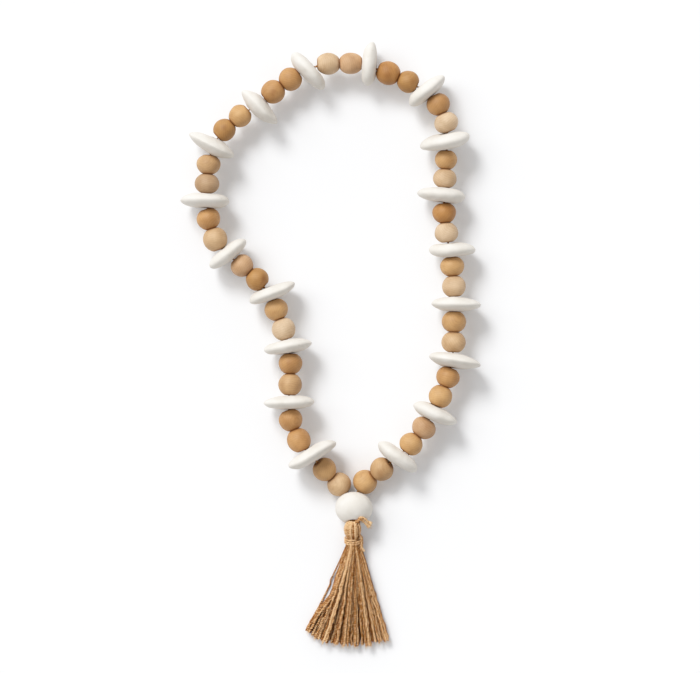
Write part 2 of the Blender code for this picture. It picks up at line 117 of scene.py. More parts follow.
class ShaderTree:
    """The node tree of a new material."""

    def __init__(self, name: str) -> None:
        """Make the material with its Principled shader."""
        self.material = bpy.data.materials.new(name)
        self.material.use_nodes = True
        self.tree = self.material.node_tree
        self.shader = self.tree.nodes["Principled BSDF"]

    def node(
        self,
        kind: str,
        sockets: dict | None = None,
        output: str | int = 0,
        stops: tuple = (),
        **settings: object,
    ) -> Socket:
        """Add a node.

        Args:
            kind: The node's type.
            sockets: Values or links for its inputs, by name or number.
            output: The output that is wanted.
            stops: A ramp's positions, each with its value.
            settings: The node's own settings.

        Returns:
            The output.
        """
        made = self.tree.nodes.new(kind)
        for name, value in settings.items():
            setattr(made, name, value)
        if stops:
            ramp = made.color_ramp
            while len(ramp.elements) < len(stops):
                ramp.elements.new(1.0)
            for element, (position, value) in zip(ramp.elements, stops):
                element.position = position
                element.color = (*(value if isinstance(value, tuple) else (value,) * 3), 1.0)
        for key, value in (sockets or {}).items():
            self.feed(made.inputs[key], value)
        return Socket(self, made.outputs[output])

    def feed(self, target: bpy.types.NodeSocket, value: object) -> None:
        """Link a socket to an input, or set the input's value."""
        if isinstance(value, Socket):
            self.tree.links.new(value.output, target)
        else:
            target.default_value = value

    def attribute(self, name: str, output: str) -> Socket:
        """Read a mesh attribute: its Fac, Vector or Color."""
        return self.node("ShaderNodeAttribute", output=output, attribute_name=name)

    def stretched(self, place: Socket, by: Triple) -> Socket:
        """Stretch coordinates along each axis."""
        return self.node("ShaderNodeVectorMath", {0: place, 1: by}, operation="MULTIPLY")

    def streaks(
        self, place: Socket, across: float, along: float, detail: float = 2.0, rough: float = 0.5
    ) -> Socket:
        """Noise drawn out along +Z, from its scales across and along."""
        return self.noise(self.stretched(place, (across, across, along)), 1.0, detail, rough)

    def noise(self, place: Socket, scale: float, detail: float = 2.0, rough: float = 0.5) -> Socket:
        """Soft noise at a place, about 0.5."""
        sockets = {"Vector": place, "Scale": scale, "Detail": detail, "Roughness": rough}
        return self.node("ShaderNodeTexNoise", sockets)

    def ramp(self, value: Socket, stops: tuple) -> Socket:
        """Run a value through a ramp."""
        return self.node("ShaderNodeValToRGB", {"Fac": value}, stops=stops)

    def mixed(self, share: object, first: object, second: object, blend: str = "MIX") -> Socket:
        """Mix two colours."""
        colours = [(*c, 1.0) if isinstance(c, tuple) else c for c in (first, second)]
        sockets = {0: share, 6: colours[0], 7: colours[1]}
        return self.node("ShaderNodeMix", sockets, output=2, data_type="RGBA", blend_type=blend)

    def bump(self, height: Socket, depth: float, strength: float = 1.0) -> Socket:
        """A normal from a height of that depth in metres."""
        sockets = {"Height": height, "Distance": depth, "Strength": strength}
        return self.node("ShaderNodeBump", sockets, output="Normal")

    def finish(self, sockets: dict) -> bpy.types.Material:
        """Feed the Principled shader and hand over the material."""
        for name, value in sockets.items():
            self.feed(self.shader.inputs[name], value)
        return self.material


# Finishes


class Tone(Enum):
    """The tones that the raw wood comes in."""

    PALE = (209, 183, 152)
    SAND = (203, 174, 140)
    BEIGE = (201, 168, 129)
    TAN = (199, 157, 106)
    DUSTY = (190, 153, 110)
    ROSY = (197, 159, 121)
    WARM = (191, 145, 93)
    GREYISH = (183, 153, 120)
    BROWN = (184, 139, 88)
    ORANGE = (176, 126, 70)
    DARK = (174, 130, 76)


@dataclass(frozen=True)
class SandedWood:
    """Raw sanded wood, cut from the block that the mesh's own coordinates place it in."""

    name: str = "wood"
    ring_pitch: float = 0.0017
    wander: Pair = (120.0, 2.2)  # the scale on which the rings wander, and over how many rings
    mottle: Pair = (95.0, 3.0)  # scale and detail
    fibres: tuple[float, ...] = (4600.0, 210.0, 3.0, 0.65)  # scales across and along, detail, roughness
    pores: tuple[float, ...] = (2300.0, 330.0, 1.0)
    ring: Stops = ((0.0, 0.0), (0.55, 0.35), (0.86, 1.0), (0.97, 0.25), (1.0, 0.0))
    pore: Stops = ((0.0, 0.0), (0.62, 0.0), (0.70, 1.0), (1.0, 1.0))
    deep: Triple = (0.70, 0.62, 0.52)  # of the bead's own tone
    bright: Triple = (1.16, 1.17, 1.20)
    # share of the bead's own tone at a knot, and as painted shade at the flats where beads meet
    knot_and_shade: Triple = (0.56, 0.42, 0.30)
    roughness: float = 0.56
    shine: float = 0.42
    relief: float = 0.00006

    def material(self) -> bpy.types.Material:
        """Make the wood.

        Returns:
            Growth rings, fibres along the grain, short pores and soft mottling in each bead's own tone,
            with dark knots and painted shade at the flats where beads meet.
        """
        tree = ShaderTree(self.name)
        block = tree.attribute("block", "Vector")
        tone = tree.attribute("tone", "Color")
        across = tree.stretched(block, (1.0, 1.0, 0.0))
        reach = tree.node("ShaderNodeVectorMath", {0: across}, output="Value", operation="LENGTH")
        scale, rings = self.wander
        wander = tree.noise(block, scale) * rings
        late = tree.ramp((reach / self.ring_pitch + wander).remainder(), self.ring)
        fibres = tree.streaks(block, *self.fibres)
        pores = tree.ramp(tree.streaks(block, *self.pores), self.pore)
        mottle = tree.noise(block, *self.mottle)
        light = 0.5 + (mottle - 0.5) * 1.5 + (fibres - 0.5) * 0.75 - late * 0.20 - pores * 0.10
        shades = (self.deep, self.bright, self.knot_and_shade)
        deep, bright, knot_and_shade = (tree.mixed(1.0, tone, shade, "MULTIPLY") for shade in shades)
        wood = tree.mixed(light.limited(), deep, bright)
        # dark knots, and painted shade on the end grain where two beads meet
        wood = tree.mixed(tree.attribute("stain", "Fac"), wood, knot_and_shade)
        return tree.finish(
            {
                "Base Color": wood,
                "Roughness": self.roughness + (fibres - 0.5) * 0.25,
                "Specular IOR Level": self.shine,
                "Normal": tree.bump(fibres - pores * 0.5 - late * 0.3, self.relief),
            }
        )


@dataclass(frozen=True)
class ChalkPaint:
    """Matte white paint, a little uneven, with fine grit and a few pits."""

    name: str = "white"
    thin: tuple[int, int, int] = (216, 210, 200)
    thick: tuple[int, int, int] = (226, 221, 213)
    pitted: tuple[int, int, int] = (190, 178, 160)
    cover: Triple = (85.0, 4.0, 0.55)  # scale, detail and roughness
    grit: Triple = (1700.0, 3.0, 0.6)
    ripple: Pair = (260.0, 2.0)
    pit_scale: float = 190.0
    rare_scale: float = 70.0
    coat: Stops = ((0.0, 0.0), (0.30, 0.0), (0.68, 1.0), (1.0, 1.0))
    pit: Stops = ((0.0, 1.0), (0.10, 0.7), (0.16, 0.0), (1.0, 0.0))
    rare: Stops = ((0.0, 0.0), (0.56, 0.0), (0.60, 1.0), (1.0, 1.0))  # where there are pits at all
    roughness: float = 0.72
    shine: float = 0.35
    relief: float = 0.00022

    def material(self) -> bpy.types.Material:
        """Make the paint."""
        tree = ShaderTree(self.name)
        place = tree.node("ShaderNodeTexCoord", output="Object")
        cover = tree.ramp(tree.noise(place, *self.cover), self.coat)
        grit = tree.noise(place, *self.grit)
        ripple = tree.noise(place, *self.ripple)
        spacing = tree.node("ShaderNodeTexVoronoi", {"Vector": place, "Scale": self.pit_scale})
        pits = tree.ramp(spacing, self.pit) * tree.ramp(tree.noise(place, self.rare_scale), self.rare)
        paint = tree.mixed(cover, linear(*self.thin), linear(*self.thick))
        paint = tree.mixed(pits * 0.35, paint, linear(*self.pitted))
        height = ripple * 0.8 + grit * 0.35 - pits * 0.9
        return tree.finish(
            {
                "Base Color": paint,
                "Roughness": self.roughness + (grit - 0.5) * 0.2,
                "Specular IOR Level": self.shine,
                "Normal": tree.bump(height, self.relief, 0.8),
            }
        )


@dataclass(frozen=True)
class Jute:
    """Natural jute: fibres that run with each ply, from straw to brown."""

    name: str = "jute"
    brown: tuple[int, int, int] = (108, 48, 4)
    tan: tuple[int, int, int] = (190, 128, 62)
    straw: tuple[int, int, int] = (246, 208, 160)
    fibres: tuple[float, ...] = (7500.0, 420.0, 3.0, 0.7)  # scales across and along, detail, roughness
    strands: tuple[float, ...] = (2600.0, 140.0, 1.0)
    patches: tuple[float, ...] = (500.0, 90.0)
    flecks: tuple[float, ...] = (900.0, 480.0, 2.0, 0.6)
    roughness: float = 0.86
    shine: float = 0.1
    sheen: float = 0.04
    relief: float = 0.00022

    def material(self) -> bpy.types.Material:
        """Make the yarn."""
        tree = ShaderTree(self.name)
        thread = tree.attribute("thread", "Vector")
        # each yarn's own tone, with painted light and shade added
        tone = tree.attribute("yarn_tone", "Fac")
        # how far a point lies from the crevice between the plies, read for painted crevice shade
        outer = tree.attribute("outer", "Fac")
        kinds = (self.fibres, self.strands, self.patches, self.flecks)
        fibres, strands, patches, flecks = (tree.streaks(thread, *kind) for kind in kinds)
        value = tone + (fibres - 0.5) * 0.8 + (strands - 0.5) * 0.5 + (patches - 0.5) * 0.6
        # painted shade: darker in the crevices between the plies
        value = (value + (flecks - 0.5) * 2.8 + (outer - 0.6) * 0.35).limited()
        stops = ((0.0, linear(*self.brown)), (0.5, linear(*self.tan)), (1.0, linear(*self.straw)))
        return tree.finish(
            {
                "Base Color": tree.ramp(value, stops),
                "Roughness": self.roughness,
                "Specular IOR Level": self.shine,
                "Sheen Weight": self.sheen,
                "Normal": tree.bump(fibres * 0.7 + strands * 0.6, self.relief),
            }
        )


@dataclass(frozen=True)
class FloorPaint:
    """The plain white floor."""

    name: str = "floor"
    shade: Triple = (0.922, 0.93, 0.945)
    roughness: float = 0.9
    shine: float = 0.1

    def material(self) -> bpy.types.Material:
        """Make the floor."""
        sockets = {"Roughness": self.roughness, "Specular IOR Level": self.shine}
        return ShaderTree(self.name).finish({"Base Color": (*self.shade, 1.0), **sockets})


# Making and placing meshes


def placed(centre: Vector, outwards: Vector | None, along: Vector) -> Matrix:
    """The matrix that lays +Z along the string, +X out of the loop and +Y as near upright as it can."""
    z = along.normalized()
    y = (UP - UP.dot(z) * z).normalized() if outwards is None else z.cross(outwards).normalized()
    return Matrix.Translation(centre) @ Matrix((y.cross(z), y, z)).transposed().to_4x4()


def turned(profile: list[Pair], segments: int) -> bmesh.types.BMesh:
    """Turn a closed profile fully about +Z.

    Args:
        profile: Radius and height of each point.
        segments: Faces round the piece.

    Returns:
        The closed mesh.
    """
    bm = bmesh.new()
    verts = [bm.verts.new((radius, 0.0, height)) for radius, height in profile]
    edges = [bm.edges.new(pair) for pair in zip(verts, verts[1:] + verts[:1])]
    bmesh.ops.spin(
        bm,
        geom=verts + edges,
        cent=(0.0, 0.0, 0.0),
        axis=(0.0, 0.0, 1.0),
        angle=math.tau,
        steps=segments,
        use_merge=True,
        use_duplicate=False,
    )
    return bm


def ball_profile(radius: float, flat: float, back: float, on: float, bands: int) -> list[Pair]:
    """The profile of a ball between two flats.

    Args:
        radius: Of the ball at its widest place, where its height is 0.
        flat: How wide each flat is.
        back: From the widest place to the lower flat.
        on: And to the upper flat.
        bands: Faces from flat to flat.

    Returns:
        Radius and height of each point, from the lower flat up.
    """
    top = math.acos(flat / 2 / radius)
    profile = []
    for step in range(bands + 1):
        angle = -top + 2 * top * step / bands
        reach = (back if angle < 0 else on) / math.sin(top)
        profile.append((radius * math.cos(angle), reach * math.sin(angle)))
    return profile


def soften(bm: bmesh.types.BMesh, radius: float, height: float, offset: float, segments: int) -> None:
    """Round the edge that runs round a turned piece at a radius and a height."""

    def on_ring(vert: bmesh.types.BMVert) -> bool:
        """Whether a vertex is on the ring."""
        return abs(vert.co.xy.length - radius) < ON_EDGE and abs(vert.co.z - height) < ON_EDGE

    rings = [edge for edge in bm.edges if on_ring(edge.verts[0]) and on_ring(edge.verts[1])]
    bmesh.ops.bevel(
        bm,
        geom=rings,
        offset=offset,
        offset_type="OFFSET",
        affect="EDGES",
        segments=segments,
        profile=0.5,
        material=-1,
    )


def roughen(bm: bmesh.types.BMesh, seed: int, amount: float, scale: float) -> None:
    """Move the surface in and out a little, as a hand leaves it."""
    bm.normal_update()
    shift = Vector((seed * 1.7, seed * 2.3, seed * 0.9))
    for vert in bm.verts:
        vert.co += vert.normal * noise.noise(vert.co * scale + shift) * amount


def rest(bm: bmesh.types.BMesh) -> None:
    """Press flat what would reach below the floor."""
    for vert in bm.verts:
        vert.co.z = max(vert.co.z, 0.0)


def in_scene(name: str, data: bpy.types.ID) -> bpy.types.Object:
    """Make an object of a mesh, a light or a camera, and put it in the scene."""
    made = bpy.data.objects.new(name, data)
    bpy.context.scene.collection.objects.link(made)
    return made


def dressed(
    name: str, mesh: bpy.types.Mesh, material: bpy.types.Material, slot: str, *nodes: str
) -> bpy.types.Object:
    """Turn a mesh into a piece of the garland.

    Args:
        name: The piece's name.
        mesh: Its finished mesh.
        material: Its finish.
        slot: A material slot's name; not used.
        nodes: The solids that it stands for.

    Returns:
        The piece.
    """
    mesh.name = name
    mesh.shade_smooth()
    mesh.materials.append(material)
    piece = in_scene(name, mesh)
    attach(piece, BODY)
    if nodes:
        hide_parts(*nodes)
    LOG.info("%s: %d faces", name, len(mesh.polygons))
    return piece


def mesh_of(bm: bmesh.types.BMesh) -> bpy.types.Mesh:
    """The mesh of a bmesh, with its faces turned outwards."""
    bmesh.ops.recalc_face_normals(bm, faces=bm.faces)
    mesh = bpy.data.meshes.new("made")
    bm.to_mesh(mesh)
    bm.free()
    return mesh


# Yarn


class Path:
    """A smooth line through points, with a frame carried along it without turning."""

    STEPS = 8  # between two points
    FEWEST = 8  # places at which a line is kept
    FIRST_SIDE = (0.13, 0.21, 1.0)  # what the frame's side is square to at the start, for any line

    def __init__(self, points: list, spacing: float = 0.0008) -> None:
        """Fit the line.

        Args:
            points: The points that it runs through.
            spacing: Between the places at which it is kept.
        """
        knots = np.array([tuple(point) for point in points], float)
        reach = np.linalg.norm(np.diff(knots, axis=0), axis=1)[:, None]
        way = np.diff(knots, axis=0) / reach
        inner = (way[:-1] * reach[1:] + way[1:] * reach[:-1]) / (reach[1:] + reach[:-1])
        slopes = np.vstack([way[:1], inner, way[-1:]])
        t = np.linspace(0.0, 1.0, self.STEPS, endpoint=False)[None, :, None]
        start, end = knots[:-1, None], knots[1:, None]
        leave, arrive = (reach * slopes[:-1])[:, None], (reach * slopes[1:])[:, None]
        line = (2 * t**3 - 3 * t**2 + 1) * start + (t**3 - 2 * t**2 + t) * leave
        line = line + (3 * t**2 - 2 * t**3) * end + (t**3 - t**2) * arrive
        line = np.vstack([line.reshape(-1, 3), knots[-1:]])
        run = np.concatenate([[0.0], np.cumsum(np.linalg.norm(np.diff(line, axis=0), axis=1))])
        self.length = float(run[-1])
        self.run = np.linspace(0.0, self.length, max(self.FEWEST, round(self.length / spacing)))
        self.line = np.stack([np.interp(self.run, run, line[:, axis]) for axis in range(3)], axis=1)
        self.along = np.gradient(self.line, axis=0)
        self.along /= np.linalg.norm(self.along, axis=1)[:, None]
        self.side = np.zeros_like(self.line)
        side = np.cross(self.along[0], self.FIRST_SIDE)
        for index, along in enumerate(self.along):
            side = side - side.dot(along) * along
            side = side / np.linalg.norm(side)
            self.side[index] = side
        self.over = np.cross(self.along, self.side)

    def at(self, kept: np.ndarray, distances: np.ndarray) -> np.ndarray:
        """Read what is kept along the line at some distances."""
        return np.stack([np.interp(distances, self.run, kept[:, axis]) for axis in range(3)], axis=1)

    def bend(self, corners: np.ndarray, widths: Stops, phase: float) -> tuple[np.ndarray, np.ndarray]:
        """Lay corners of a straight yarn, which runs up +Z from 0, along the line.

        Args:
            corners: The straight yarn's corners.
            widths: Shares of the way along, each with how wide the yarn is there.
            phase: How far the yarn is turned about itself, in radians.

        Returns:
            The corners on the line, and how far each stands above or below the line.
        """
        share = corners[:, 2] / corners[:, 2].max()
        wide = np.interp(share, *zip(*widths))
        distances = share * self.length
        x = (corners[:, 0] * math.cos(phase) - corners[:, 1] * math.sin(phase)) * wide
        y = (corners[:, 0] * math.sin(phase) + corners[:, 1] * math.cos(phase)) * wide
        off = self.at(self.side, distances) * x[:, None] + self.at(self.over, distances) * y[:, None]
        return self.at(self.line, distances) + off, off[:, 2]


@dataclass(frozen=True)
class Strand:
    """One yarn to be laid: its line, its tone from end to end, and its width along it."""

    path: Path
    tone: float
    end_tone: float
    widths: Stops = ((0.0, 1.0), (1.0, 1.0))


@dataclass(frozen=True)
class Yarn:
    """Yarn of plies twisted round each other."""

    width: float
    pitch: float
    plies: int = 2
    sides: int = 6
    steps: int = 8  # in each turn
    painted_shading: float = 0.26  # painted light on its upper side, painted shade on its flanks and underside
    scatter: float = 3.0  # metres of the fibres' pattern over which its lengths start

    def straight(self, length: float) -> bpy.types.Mesh:
        """Twist a straight length of the yarn up +Z.

        Args:
            length: Its length.

        Returns:
            Its mesh, each ply a closed body.
        """
        lay = self.width / 4 if self.plies > 1 else 0.0
        radius = self.width / 2 - lay
        bm = bmesh.new()
        for number in range(self.plies):
            ply = bmesh.ops.create_circle(bm, segments=self.sides, radius=radius)["verts"]
            turn = math.tau * number / self.plies
            bmesh.ops.translate(bm, verts=ply, vec=(lay * math.cos(turn), lay * math.sin(turn), 0.0))
        turns = length / self.pitch
        steps = math.ceil(turns * self.steps)
        bmesh.ops.spin(
            bm,
            geom=list(bm.verts) + list(bm.edges),
            cent=(0.0, 0.0, 0.0),
            axis=(0.0, 0.0, 1.0),
            angle=math.tau * turns,
            steps=steps,
            dvec=(0.0, 0.0, length / steps),
            use_merge=False,
            use_duplicate=False,
        )
        ends = [edge for edge in bm.edges if edge.is_boundary]
        bmesh.ops.holes_fill(bm, edges=ends, sides=0)
        return mesh_of(bm)

    def laid(self, strands: list[Strand], seed: int) -> bpy.types.Mesh:
        """Lay one length of the yarn along each strand's line, joined in one mesh.

        Args:
            strands: What to lay.
            seed: For where each length starts in the fibres' pattern.

        Returns:
            The mesh, with the attributes that the jute finish reads.
        """
        template = self.straight(max(strand.path.length for strand in strands))
        source = in_scene("yarn", template)
        copies = source.modifiers.new("copies", "ARRAY")
        copies.count = len(strands)
        copies.use_relative_offset = False
        graph = bpy.context.evaluated_depsgraph_get()
        mesh = bpy.data.meshes.new_from_object(source.evaluated_get(graph), depsgraph=graph)
        corners = np.empty(len(template.vertices) * 3)
        template.vertices.foreach_get("co", corners)
        corners = corners.reshape(-1, 3)
        bpy.data.objects.remove(source)

        height = corners[:, 2]
        share = height / height.max()
        back = -math.tau * height / self.pitch
        x = corners[:, 0] * np.cos(back) - corners[:, 1] * np.sin(back)
        y = corners[:, 0] * np.sin(back) + corners[:, 1] * np.cos(back)
        chance = random.Random(seed)
        places, threads, tones = [], [], []
        for strand in strands:
            place, above = strand.path.bend(corners, strand.widths, chance.uniform(0.0, math.tau))
            place[:, 2] = np.maximum(place[:, 2], 0.0)
            places.append(place)
            start = chance.uniform(0.0, self.scatter)
            threads.append(np.stack([x + start, y, height + start], axis=1))
            # painted light and shade: lighter where the surface stands above the yarn's line, darker
            # below it
            painted_shade = np.clip(above / (self.width / 2), -1.0, 1.0) * self.painted_shading
            tones.append(strand.tone + (strand.end_tone - strand.tone) * share + painted_shade)
        # painted shade in the crevice between the plies: 0 at the yarn's middle, 1 at its outside
        outer = np.clip(np.hypot(corners[:, 0], corners[:, 1]) / (self.width / 2), 0.0, 1.0)
        mesh.vertices.foreach_set("co", np.concatenate(places).ravel())
        self.store(mesh, "thread", "FLOAT_VECTOR", "vector", np.concatenate(threads))
        # each yarn's own tone, with the painted light and shade added
        self.store(mesh, "yarn_tone", "FLOAT", "value", np.concatenate(tones))
        self.store(mesh, "outer", "FLOAT", "value", np.tile(outer, len(strands)))
        mesh.update()
        return mesh

    @staticmethod
    def store(mesh: bpy.types.Mesh, name: str, kind: str, field: str, values: np.ndarray) -> None:
        """Keep values on a mesh's points."""
        kept = mesh.attributes.new(name, kind, "POINT")
        kept.data.foreach_set(field, values.astype(np.float32).ravel())


@dataclass(frozen=True)
class Hairs:
    """Loose fibres that stand off yarn."""

    count: int
    length: Pair
    starts: Pair  # shares of a yarn's length between which they start
    width: float = 0.00011
    rise: float = 0.5  # how far each stands off, for each metre along
    yarn_radius: float = 0.0007
    droop: float = 0.45  # share of that rise that it loses by its end
    kink: Pair = (0.6, 1.4)  # shares of the rise at each of its points
    sway: float = 0.5  # how far each leans aside, for each metre along
    lowest: float = 0.0002  # above the floor
    tones: Pair = (0.55, 1.1)
    taper: Stops = ((0.0, 1.0), (0.6, 0.9), (1.0, 0.35))
    points: int = 4
    spacing: float = 0.0012

    def strands(self, paths: list[Path], seed: int) -> list[Strand]:
        """Scatter hairs over some yarns.

        Args:
            paths: The yarns' lines.
            seed: For the scatter.

        Returns:
            The hairs.
        """
        chance = random.Random(seed)
        made = []
        for _ in range(self.count):
            path = chance.choice(paths)
            where = np.array([path.length * chance.uniform(*self.starts)])
            kept = (path.line, path.along, path.side, path.over)
            start, along, side, over = (path.at(values, where)[0] for values in kept)
            turn = chance.uniform(0.0, math.tau)
            out = math.cos(turn) * side + math.sin(turn) * over
            length = chance.uniform(*self.length)
            sway = np.cross(along, out) * chance.uniform(-self.sway, self.sway)
            line = []
            for step in range(self.points):
                t = step / (self.points - 1)
                rise = length * self.rise * (t - self.droop * t * t) * chance.uniform(*self.kink)
                off = self.yarn_radius + rise
                line.append(start + along * length * t + out * off + sway * length * t * t)
                line[-1][2] = max(line[-1][2], self.lowest)
            tone = chance.uniform(*self.tones)
            made.append(Strand(Path(line, self.spacing), tone, tone, self.taper))
        return made

    def yarn(self) -> Yarn:
        """The fibre that they are made of."""
        return Yarn(width=self.width, pitch=0.02, plies=1, sides=3, steps=16)


# The garland's pieces


class WoodLook(NamedTuple):
    """How one wood bead looks: its tone, the way its grain runs, and how dark a knot it has."""

    tone: Tone
    grain: float  # degrees between the grain and the bore
    turn: float  # degrees that the block is turned about the bore
    knot: float = 0.0
    knot_turn: float = 0.0  # degrees round the bore from the top, towards the loop's inside
    knot_along: float = 0.0  # share of the way from the middle to the next bead
    size: float = 1.0  # of the usual width


@dataclass
class WoodBeads:
    """The turned wood beads, each a slightly flattened ball with a flat at each end of its bore."""

    diameter: float = 0.0202
    flat: float = 0.0086
    bore: float = 0.0062
    segments: int = 48
    bands: int = 18
    edge: float = 0.0007  # rounded off round each flat and each end of the bore
    closing: float = 0.0005  # by which a flat stands nearer to a disc than the solid's
    seam: float = 0.00002  # left between two beads that touch
    uneven: Pair = (0.00016, 130.0)  # by how much, and in how many waves a metre
    knot_reach: float = 0.0028
    # painted shade in the crease where two beads meet, on the end grain at the flats
    contact_shade: float = 1.2
    contact_shade_from: float = 0.91  # share of the way to a flat
    contact_shade_over: float = 0.05  # and the share over which it grows to the full
    cuts: tuple[Pair, ...] = ((0.012, 0.04), (-0.02, 0.02), (-0.5, 0.5))  # where in a block, in metres
    looks: tuple[WoodLook, ...] = (
        WoodLook(Tone.BEIGE, 80, 20, size=1.02),
        WoodLook(Tone.TAN, 60, 75, 0.25, -10, 0.25),
        WoodLook(Tone.WARM, 75, 110),
        WoodLook(Tone.WARM, 20, 15, 0.35, 30, -0.3),
        WoodLook(Tone.DUSTY, 85, 160),
        WoodLook(Tone.BROWN, 70, 50, 0.4, 5, 0.1),
        WoodLook(Tone.PALE, 85, 10),
        WoodLook(Tone.TAN, 65, 95),
        WoodLook(Tone.DARK, 40, 140, 0.85, -28, -0.35, size=0.97),
        WoodLook(Tone.ROSY, 80, 35, size=0.97),
        WoodLook(Tone.BEIGE, 85, 120, size=1.03),
        WoodLook(Tone.WARM, 55, 70),
        WoodLook(Tone.GREYISH, 88, 90, size=1.05),
        WoodLook(Tone.DUSTY, 75, 25, size=1.02),
        WoodLook(Tone.DARK, 60, 150, 0.6, 8, 0.2, size=0.95),
        WoodLook(Tone.TAN, 80, 60, size=0.95),
        WoodLook(Tone.BROWN, 35, 105, 0.55, -5, 0.0),
        WoodLook(Tone.BROWN, 70, 45, 0.3, 15, -0.2),
        WoodLook(Tone.SAND, 85, 130, size=0.93),
        WoodLook(Tone.ROSY, 75, 80, size=0.91),
        WoodLook(Tone.ORANGE, 60, 30, 0.4, -12, 0.1),
        WoodLook(Tone.DARK, 45, 115, 0.35, 10, 0.3, size=0.94),
        WoodLook(Tone.BROWN, 80, 65),
        WoodLook(Tone.PALE, 85, 145, size=1.03),
        WoodLook(Tone.TAN, 70, 40, 0.15, 0, 0.2, size=0.94),
        WoodLook(Tone.SAND, 80, 100),
        WoodLook(Tone.ORANGE, 55, 20),
        WoodLook(Tone.PALE, 85, 75),
        WoodLook(Tone.TAN, 65, 135, size=1.02),
        WoodLook(Tone.SAND, 89, 90),
        WoodLook(Tone.TAN, 50, 55, 0.2, -15, -0.2, size=1.03),
        WoodLook(Tone.BEIGE, 80, 110, size=1.03),
        WoodLook(Tone.WARM, 86, 85),
        WoodLook(Tone.TAN, 70, 15),
        WoodLook(Tone.ROSY, 75, 125, 0.3, 6, -0.1, size=1.04),
        WoodLook(Tone.TAN, 60, 90),
        WoodLook(Tone.DUSTY, 80, 50, 0.35, 10, 0.2),
        WoodLook(Tone.TAN, 12, 35, size=1.04),
    )

    def shape(self, back: float, on: float, size: float) -> bmesh.types.BMesh:
        """Turn one bead about +Z and soften the edges of its flats.

        Args:
            back: From its widest place to the flat at its lower end.
            on: And to the flat at its upper end.
            size: Its own share of the usual width.

        Returns:
            The bead.
        """
        profile = ball_profile(self.diameter / 2 * size, self.flat, back, on, self.bands)
        profile += [(self.bore / 2, on), (self.bore / 2, -back)]
        bm = turned(profile, self.segments)
        for height in (on, -back):
            soften(bm, self.flat / 2, height, self.edge, 3)
            soften(bm, self.bore / 2, height, self.edge, 2)
        return bm

    def paired(self, number: int) -> "TurnedPlace":
        """Where a bead lies, in line with the bead that it touches flat on flat.

        Args:
            number: The bead's own, from 1.

        Returns:
            The place, with +Z along the string.
        """
        first = number % 2 == 1
        place = turned_place(f"wood_bead_{number:02d}")
        other = turned_place(f"wood_bead_{number + 1 if first else number - 1:02d}")
        way = other.middle - place.middle if first else place.middle - other.middle
        if place.axis.dot(way) < 0:
            place = place.reversed()
        touch = (other.middle - place.middle).length / 2 - self.seam
        back = place.back + self.closing if first else touch
        on = touch if first else place.on + self.closing
        return TurnedPlace(place.middle, way.normalized(), back, on)

    def make(self) -> None:
        """Make every bead where its solid lies."""
        material = SandedWood().material()
        for number, look in enumerate(self.looks, start=1):
            node = f"wood_bead_{number:02d}"
            place = self.paired(number)
            bm = self.shape(place.back, place.on, look.size)
            roughen(bm, number, *self.uneven)
            self.grain(bm, look, number)
            # painted shade at the flats, where two beads meet
            self.paint_contact_shade(bm, place)
            bmesh.ops.transform(bm, verts=bm.verts, matrix=placed(place.middle, None, place.axis))
            dressed(f"turned_bead_{number:02d}", mesh_of(bm), material, "wood", node)

    def grain(self, bm: bmesh.types.BMesh, look: WoodLook, number: int) -> None:
        """Keep where in its block of wood the bead was cut, with its tone and its knot."""
        block = bm.verts.layers.float_vector.new("block")
        tone = bm.verts.layers.float_color.new("tone")
        # dark knots here; the painted shade at the flats is added to the same layer later
        stain = bm.verts.layers.float.new("stain")
        grain, about = math.radians(look.grain), math.radians(look.turn)
        turn = Matrix.Rotation(grain, 3, "Y") @ Matrix.Rotation(about, 3, "Z")
        chance = random.Random(number)
        start = Vector([chance.uniform(*limits) for limits in self.cuts])
        round_bore = math.radians(look.knot_turn)
        height = self.diameter / 2 * look.knot_along
        reach = math.sqrt((self.diameter / 2) ** 2 - height**2)
        knot = Vector((reach * math.sin(round_bore), reach * math.cos(round_bore), height))
        for vert in bm.verts:
            vert[block] = turn @ vert.co + start
            vert[tone] = (*linear(*look.tone.value), 1.0)
            away = (vert.co - knot).length / self.knot_reach
            vert[stain] = look.knot * math.exp(-away * away)

    def paint_contact_shade(self, bm: bmesh.types.BMesh, place: "TurnedPlace") -> None:
        """Paint shade on the end grain at both flats, as the dark crease where two beads meet."""
        stain = bm.verts.layers.float["stain"]
        for vert in bm.verts:
            share = max(vert.co.z / place.on, -vert.co.z / place.back)
            grown = min(max((share - self.contact_shade_from) / self.contact_shade_over, 0.0), 1.0)
            vert[stain] = max(vert[stain], self.contact_shade * grown)


class TurnedPlace(NamedTuple):
    """Where a turned solid lies: its widest place, the way of its bore, and from there to its ends."""

    middle: Vector
    axis: Vector
    back: float
    on: float

    def reversed(self) -> "TurnedPlace":
        """The same place, followed the other way."""
        return TurnedPlace(self.middle, -self.axis, self.on, self.back)


def turned_place(node: str) -> TurnedPlace:
    """Where a turned solid lies, read from its corners."""
    corners = np.array([vert.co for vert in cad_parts[node].data.vertices], float)
    middle = corners.mean(axis=0)
    spreads, ways = np.linalg.eigh(np.cov((corners - middle).T))
    axis = ways[:, 0 if spreads[1] - spreads[0] > spreads[2] - spreads[1] else 2]
    heights = (corners - middle) @ axis
    reaches = np.linalg.norm(corners - middle - np.outer(heights, axis), axis=1)
    widest = heights[reaches > reaches.max() - ON_RIM].mean()
    back, on = widest - heights.min(), heights.max() - widest
    return TurnedPlace(Vector(middle + widest * axis), Vector(axis), float(back), float(on))


class Disc(NamedTuple):
    """One white disc."""

    x: float  # where the string crosses it
    y: float
    heading: float  # degrees in plan, from its outer rim to its inner rim
    outer: float  # reach from the string to the rim outside the loop
    inner: float  # and to the rim inside the loop
    thick: float
    lean: float  # degrees off upright
    fall: float  # of its faces: 1 is a cone, 2 is a lens
    skew: float  # millimetres by which its inner half is pushed along the string


